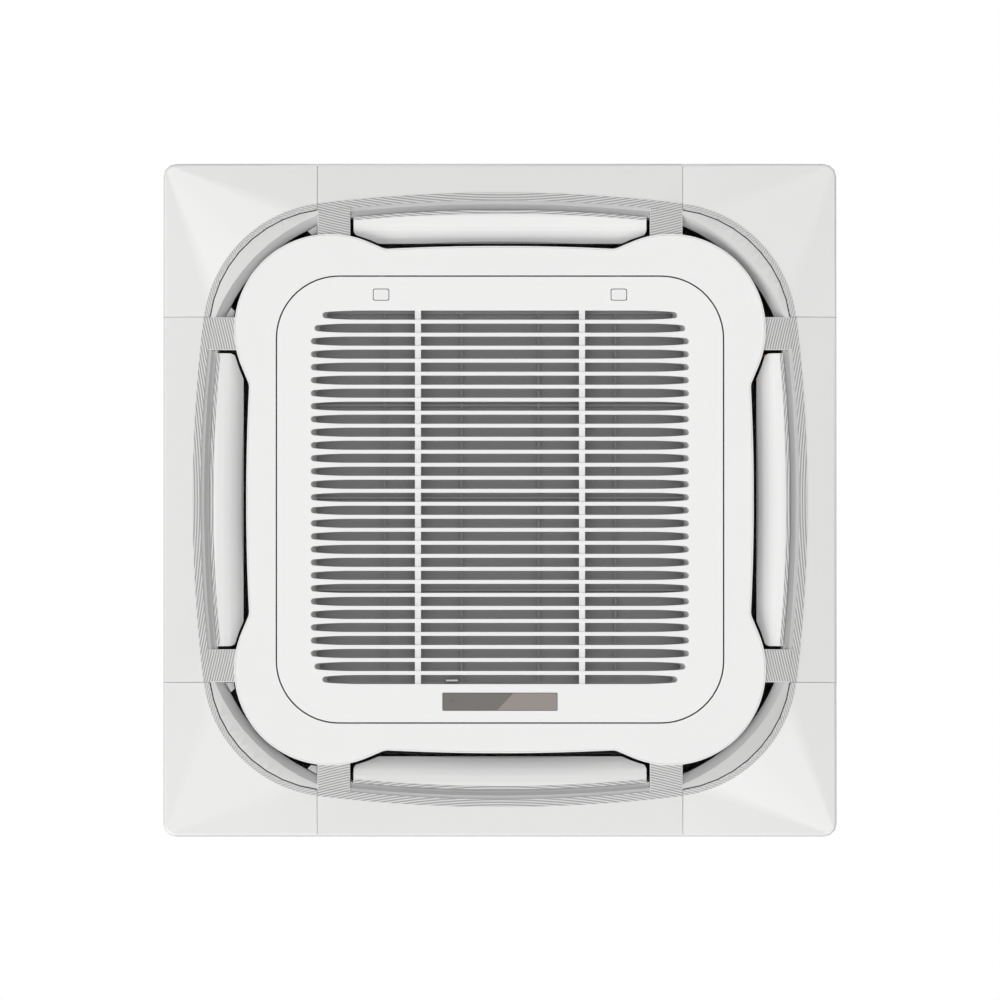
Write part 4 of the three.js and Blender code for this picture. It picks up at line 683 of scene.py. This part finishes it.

# ------------------------------------------------------------------------------------------------
# The outlets' outer walls: a sloping lip under each ledge and each corner shelf, with two small
# light brackets at the ends of the left corners. A thin dark strip in the seam between each
# cover and its shelf is a painted shadow in that seam.


def ramp(name, columns, place):
    bpy.ops.mesh.primitive_grid_add(x_subdivisions=columns, y_subdivisions=4, size=2)
    strip = bpy.context.object
    strip.name = name
    for point in strip.data.vertices:
        point.co = place((point.co.x + 1) / 2, (point.co.y + 1) / 2)
    close_up(thickened(strip, 1 * MM), 50)
    return strip


LEDGE_EDGE = 417.9 * MM
SHELF_EDGE = (164.9 * MM, 255.8 * MM)
SIDE_LIP = (9 * MM, 3.5 * MM)
CORNER_LIP = (13.8 * MM, 12 * MM)


def side_lip(u, v):
    inwards, upwards = SIDE_LIP
    px = (2 * u - 1) * 211 * MM
    py = LEDGE_EDGE - px * px / (2 * BOW)
    return (px, py - inwards * v, face_level(px, py) + 1.6 * MM + upwards * v)


def corner_lip(u, v):
    inwards, upwards = CORNER_LIP
    angle = math.radians(21.5 + 47 * u)
    centre, edge = SHELF_EDGE
    ray = Vector((math.cos(angle), math.sin(angle)))
    level = above(frame_skin, centre + edge * ray.x, centre + edge * ray.y).z
    reach = edge - 1.1 * MM - inwards * v
    return (centre + reach * ray.x, centre + reach * ray.y, level + 0.15 * MM + upwards * v)


side_strip, corner_strip = ramp("side_lip", 24, side_lip), ramp("corner_lip", 32, corner_lip)
for strip in (side_strip, corner_strip):
    for turns in range(4):
        lip = quarter(strip, turns, f"{strip.name}_{turns + 1}")
        fitted(lip, "unit", "face_white", look=ducted)
    bpy.data.objects.remove(strip)

# A thin dark strip under each cover's shelf seam: painted shadow in the seam.
centre = (COVER_ARC[0], COVER_ARC[0])
seam = rounded(centre, 177.5 * MM, 8, 82, 40) + rounded(centre, 174 * MM, 82, 8, 40)
seam_shadow = flat_outline("cover_gasket", [seam], 0, 1 * MM)
for point in seam_shadow.data.vertices:
    point.co.z += cover_level(point.co.x, point.co.y) + 0.6 * MM
for turns in range(4):
    fitted(quarter(seam_shadow, turns, f"cover_gasket_{turns + 1}"), "unit", "foam_dark")
bpy.data.objects.remove(seam_shadow)

bracket_plan = [(-258.5, -387.3), (-258.5, -375.9), (-266.5, -374.4), (-271.5, -379.7)]
for name, turned in [
    ("latch_left", lambda px, py: (px, py)),
    ("left_latch", lambda px, py: (py, px)),
    ("display_left", lambda px, py: (px, -py)),
    ("left_display", lambda px, py: (py, -px)),
]:
    plan = [turned(px * MM, py * MM) for px, py in bracket_plan]
    bracket = flat_outline(f"bracket_{name}", [plan], -27 * MM, -25 * MM)
    fitted(bracket, "unit", "face_white", look=ducted)

# ------------------------------------------------------------------------------------------------
# Swing vanes: curved blades with a ribbed outer lip and a pin at one end.

VANE_LIP = 409.4 * MM
LIP_LEVEL = -31.76 * MM
lip = [*bowed(VANE_LIP - 0.3 * MM, 206 * MM), *bowed(VANE_LIP - 4.8 * MM, 206 * MM)[::-1]]
field = bead_field("ribs", -212 * MM, 212 * MM, 360 * MM, 414 * MM, lambda px, py: LIP_LEVEL)
lip_ribs = trimmed(field, [lip])
for turns, side in enumerate(["display", "left", "latch", "right"]):
    blade = smooth_form(f"vane_{side}", f"blade_{side}", 30)
    long, across = (0, 1) if turns % 2 == 0 else (1, 0)
    for point in blade.data.vertices:
        reach = abs(point.co[across]) + point.co[long] ** 2 / (2 * BOW)
        if reach < VANE_HEM and abs(point.co[long]) < 150 * MM:
            point.co[across] -= math.copysign(2 * MM, point.co[across])
            point.co.z += 1.2 * MM
    ribs = quarter(lip_ribs, turns, f"lip_ribs_{side}")
    fitted(ribs, f"blade_{side}", "vane_white", look=ribbed)
bpy.data.objects.remove(lip_ribs)

# ------------------------------------------------------------------------------------------------
# The face ring: a flat moulding between the outlets and the grille, notched for the four vanes,
# with a raised rim a little inside its outer edge and a return wall round the grille's opening.

NOTCH_EDGE = 357.6 * MM
NOTCH_BOW = 3200 * MM
RING_ARC = (240 * MM, 134.8 * MM)
RING_TILT = math.radians(23)
FACE_LOW = -39 * MM


def ring_outline(inset):
    centre, radius = RING_ARC[0], RING_ARC[1] - inset
    edge = NOTCH_EDGE - inset
    slope = math.tan(RING_TILT)
    drop = edge - centre - radius / math.cos(RING_TILT) + centre * slope
    end = NOTCH_BOW * (math.sqrt(slope * slope + 2 * drop / NOTCH_BOW) - slope)
    corner = (end, edge - end * end / (2 * NOTCH_BOW))
    before = (end - 5 * MM, edge - (end - 5 * MM) ** 2 / (2 * NOTCH_BOW))
    after = (end + 5 * MM * math.cos(RING_TILT), corner[1] + 5 * MM * math.sin(RING_TILT))
    notch = []
    for t in spread(7, 0, 1):
        weights = ((1 - t) ** 2, 2 * t * (1 - t), t * t)
        pulls = list(zip(weights, (after, corner, before)))
        notch.append(tuple(sum(weight * point[k] for weight, point in pulls) for k in (0, 1)))
    notch += [(px, edge - px * px / (2 * NOTCH_BOW)) for px in spread(8, end - 8 * MM, 0)[:-1]]
    mirrored = [(py, px) for px, py in notch][::-1]
    tilt = math.degrees(RING_TILT)
    quarter_line = mirrored + rounded((centre, centre), radius, -tilt, 90 + tilt, 40) + notch
    return turned_round(quarter_line)


def turned_round(points):
    whole = []
    for turns in range(4):
        for px, py in points:
            whole.append([(px, py), (-py, px), (-px, -py), (py, -px)][turns])
    return whole


def soft_square(half, radius, count=14):
    return turned_round(rounded((half - radius, half - radius), radius, 0, 90, count))


def soft_box(width, depth, radius, cx=0.0, cy=0.0, count=5):
    outline = []
    for sx, sy, start in [(1, 1, 0), (-1, 1, 90), (-1, -1, 180), (1, -1, 270)]:
        centre = (cx + sx * (width / 2 - radius), cy + sy * (depth / 2 - radius))
        outline += rounded(centre, radius, start, start + 90, count)
    return outline


HINGE_X = 200 * MM
opening = soft_square(316.5 * MM, 89 * MM)[::-1]
plate_plan = [ring_outline(1.5 * MM), opening]
ring = flat_outline("ring_plate", plate_plan, FACE_LOW, -36.4 * MM, 0.25 * MM)
rim_plan = [ring_outline(-0.5 * MM), ring_outline(1.2 * MM)[::-1]]
rim = flat_outline("ring_rim", rim_plan, -38.6 * MM, -36.3 * MM, 0.3 * MM)
floor_plan = [ring_outline(0.5 * MM), ring_outline(4 * MM)[::-1]]
floor_strip = flat_outline("ring_floor", floor_plan, -37.6 * MM, -36.3 * MM)
wall_plan = [soft_square(319.2 * MM, 91.7 * MM), opening]
wall = flat_outline("ring_wall", wall_plan, -36.8 * MM, -24 * MM)
for side in (-1, 1):
    place = (side * HINGE_X, 318 * MM, -29.5 * MM)
    bpy.ops.mesh.primitive_cube_add(size=1, location=place)
    gap = bpy.context.object
    gap.scale = (13.2 * MM, 12 * MM, 13.5 * MM)
    bpy.context.view_layer.update()
    carved(wall, gap, "DIFFERENCE")
joined(ring, rim, floor_strip, wall)
fitted(ring, "unit", "inner_white", "face_ring")

# ------------------------------------------------------------------------------------------------
# The intake grille: a flat plate with 29 long slots that narrow towards round ends. Each slot's
# walls slope in at its ends, and two upright ribs tie the slats together from behind.

GRILLE_HALF = 314.6 * MM
GRILLE_CORNER = 87.2 * MM
SLOT_PITCH = 18.375 * MM
FIRST_SLOT = -260.4 * MM
SLOT_COUNT = 29
SLOT_REACH = 267.2 * MM
SLOT_SHORTER = {0: 16.4 * MM, 1: 5.1 * MM}
SLOT_HALF_HEIGHT = 6.5 * MM
TIP_RADIUS = 4.3 * MM
TAPER = 56 * MM


def slot_outline(row):
    reach = SLOT_REACH - SLOT_SHORTER.get(min(row, SLOT_COUNT - 1 - row), 0)
    middle = FIRST_SLOT + row * SLOT_PITCH
    flank = []
    for part in spread(9, 0, 1)[:-1]:
        fullness = math.cos(part * math.pi / 2) ** 0.8
        height = TIP_RADIUS + (SLOT_HALF_HEIGHT - TIP_RADIUS) * fullness
        flank.append((reach - TAPER + part * (TAPER - TIP_RADIUS), -height))
    right = flank + rounded((reach - TIP_RADIUS, 0), TIP_RADIUS, -90, 90, 9)
    right += [(px, -py) for px, py in flank][::-1]
    whole = right + [(-px, py) for px, py in right][::-1]
    return [(px, middle + py) for px, py in whole]


LATCH_X = 167.8 * MM
LATCH_Y = -289.4 * MM
LENS_Y = 285.5 * MM
latch_holes = {
    side: soft_box(23 * MM, 16.8 * MM, 2.6 * MM, side * LATCH_X, LATCH_Y)[::-1] for side in (-1, 1)
}
lens_hole = soft_box(162.4 * MM, 25.5 * MM, 1.6 * MM, 0, LENS_Y)[::-1]
plan = [soft_square(GRILLE_HALF, GRILLE_CORNER), *latch_holes.values(), lens_hole]
plan += [slot_outline(row)[::-1] for row in range(SLOT_COUNT)]
grille = flat_outline("grille_plate", plan, FACE_LOW, -36 * MM, 0.3 * MM)

liners = []
for row in range(SLOT_COUNT):
    outline = slot_outline(row)
    middle = FIRST_SLOT + row * SLOT_PITCH
    mesh = bpy.data.meshes.new("slot_wall")
    count = len(outline)
    edges = [(i, (i + 1) % count) for i in range(count)]
    mesh.from_pydata([(px, py, -38.2 * MM) for px, py in outline], edges, [])
    liner = bpy.data.objects.new("slot_wall", mesh)
    scene.collection.objects.link(liner)
    pick(liner)
    bpy.ops.object.mode_set(mode="EDIT")
    bpy.ops.mesh.select_all(action="SELECT")
    bpy.ops.mesh.extrude_region_move(TRANSFORM_OT_translate={"value": (0, 0, 12 * MM)})
    narrow = 1 - 7.8 * MM / SLOT_REACH
    bpy.ops.transform.resize(value=(narrow, 0.97, 1), center_override=(0, middle, 0))
    bpy.ops.object.mode_set(mode="OBJECT")
    liners.append(liner)
walls = joined(*liners)
thick = walls.modifiers.new("wall", "SOLIDIFY")
thick.thickness = 1.2 * MM
thick.offset = 1
bpy.ops.object.modifier_apply(modifier="wall")
bpy.ops.object.shade_smooth_by_angle(angle=math.radians(40))

parts = [walls]
outer, inner = [
    soft_square(GRILLE_HALF - inset, GRILLE_CORNER - inset) for inset in (0.4 * MM, 2.9 * MM)
]
parts.append(flat_outline("grille_rim", [outer, inner[::-1]], -37 * MM, -26 * MM))
for side in (-1, 1):
    tie = soft_box(8.6 * MM, 532 * MM, 0.8 * MM, side * 115.8 * MM, -3 * MM)
    parts.append(flat_outline("grille_tie", [tie], -37.6 * MM, -23 * MM, 0.3 * MM))
    well = [soft_box(27 * MM, 21 * MM, 4 * MM, side * LATCH_X, LATCH_Y), latch_holes[side]]
    parts.append(flat_outline("latch_well", well, -37.5 * MM, -24 * MM))
bezel = [soft_box(167 * MM, 30 * MM, 3 * MM, 0, LENS_Y), lens_hole]
parts.append(flat_outline("lens_bezel", bezel, -37.5 * MM, -32 * MM))

# The swan-necked hinge arms, cut from the side view and stood up.
HINGE = (330.5 * MM, -32.8 * MM)
STOOD_UP = Matrix(((0, 0, 1, 0), (1, 0, 0, 0), (0, 1, 0, 0), (0, 0, 0, 1)))
neck = [(-19, -1), (-15.2, -1), (-15.2, 14.2), (-2.6, 14.2), (-2.6, 0)]
neck += [(2.8, 0), (2.8, 15), (-0.2, 18), (-17, 18), (-19, 16)]
arm_plan = [[(a * MM, b * MM) for a, b in neck]]
eye_plan = [rounded((0, 0), 3.1 * MM, 0, 345, 24), rounded((0, 0), 1.6 * MM, 345, 0, 24)]
for side in (-1, 1):
    arm = flat_outline("hinge_arm", arm_plan, -5 * MM, 5 * MM, 0.3 * MM)
    eye = flat_outline("hinge_eye", eye_plan, -5 * MM, 5 * MM)
    for part in (arm, eye):
        part.data.transform(Matrix.Translation((side * HINGE_X, *HINGE)) @ STOOD_UP)
        parts.append(part)
joined(grille, *parts)
grille.name = "grille_front"
fitted(grille, "grille", "inner_white", "intake_grille", look=slotted)

# ------------------------------------------------------------------------------------------------
# Push latches: small rounded buttons, each on a neck with a finger that reaches behind the frame.

FINGER_LEVEL = -18.8 * MM
FINGER_Y = -301.7 * MM
BARB_Y = -315.55 * MM

for side, name in ((-1, "left"), (1, "right")):
    x0 = side * LATCH_X
    plan = soft_box(21.2 * MM, 15.0 * MM, 2.2 * MM, x0, LATCH_Y)
    button = flat_outline("latch_button", [plan], FACE_LOW, -33 * MM, 0.5 * MM)
    plan = soft_box(12 * MM, 6 * MM, 1 * MM, x0, LATCH_Y)
    stem = flat_outline("latch_stem", [plan], -34 * MM, FINGER_LEVEL)
    plan = soft_box(10 * MM, 30.6 * MM, 1 * MM, x0, FINGER_Y)
    finger = flat_outline("latch_finger", [plan], -21.8 * MM, FINGER_LEVEL, 0.3 * MM)
    plan = soft_box(10 * MM, 2.9 * MM, 0.5 * MM, x0, BARB_Y)
    barb = flat_outline("latch_barb", [plan], -24.6 * MM, -21 * MM, 0.3 * MM)
    joined(button, stem, finger, barb)
    button.name = f"button_{name}"
    fitted(button, f"button_{name}", "latch_white", f"latch_{name}")

# ------------------------------------------------------------------------------------------------
# The display window: a smoked plate with soft edges that sits flush in the grille.

plan = soft_box(161.2 * MM, 24.3 * MM, 1.4 * MM, 0, LENS_Y)
lens = flat_outline("window", [plan], FACE_LOW, -36 * MM, 0.3 * MM)
fitted(lens, "grille", "smoked_window", "display_lens")

# ------------------------------------------------------------------------------------------------
# The filter's frame behind the slots. Its pull tab shows in the last slot.

smooth_form("filter_frame", "grille", 30, framed)

# ------------------------------------------------------------------------------------------------
# Fan, bell mouth, motor, pipework and float, which are seen when the grille hangs open or from
# above. Their round walls are shaded smoothly.

for name, body in [
    ("fan", "rotor"),
    ("bellmouth", "unit"),
    ("fan_motor", "unit"),
    ("motor_shaft", "rotor"),
    ("top_plate", "unit"),
    ("gas_pipe", "unit"),
    ("liquid_pipe", "unit"),
    ("drain_pipe", "unit"),
    ("drain_pump", "unit"),
    ("return_bends", "unit"),
    ("float_ring", "float"),
    ("float_stem", "unit"),
]:
    smooth_form(name, body, 34)
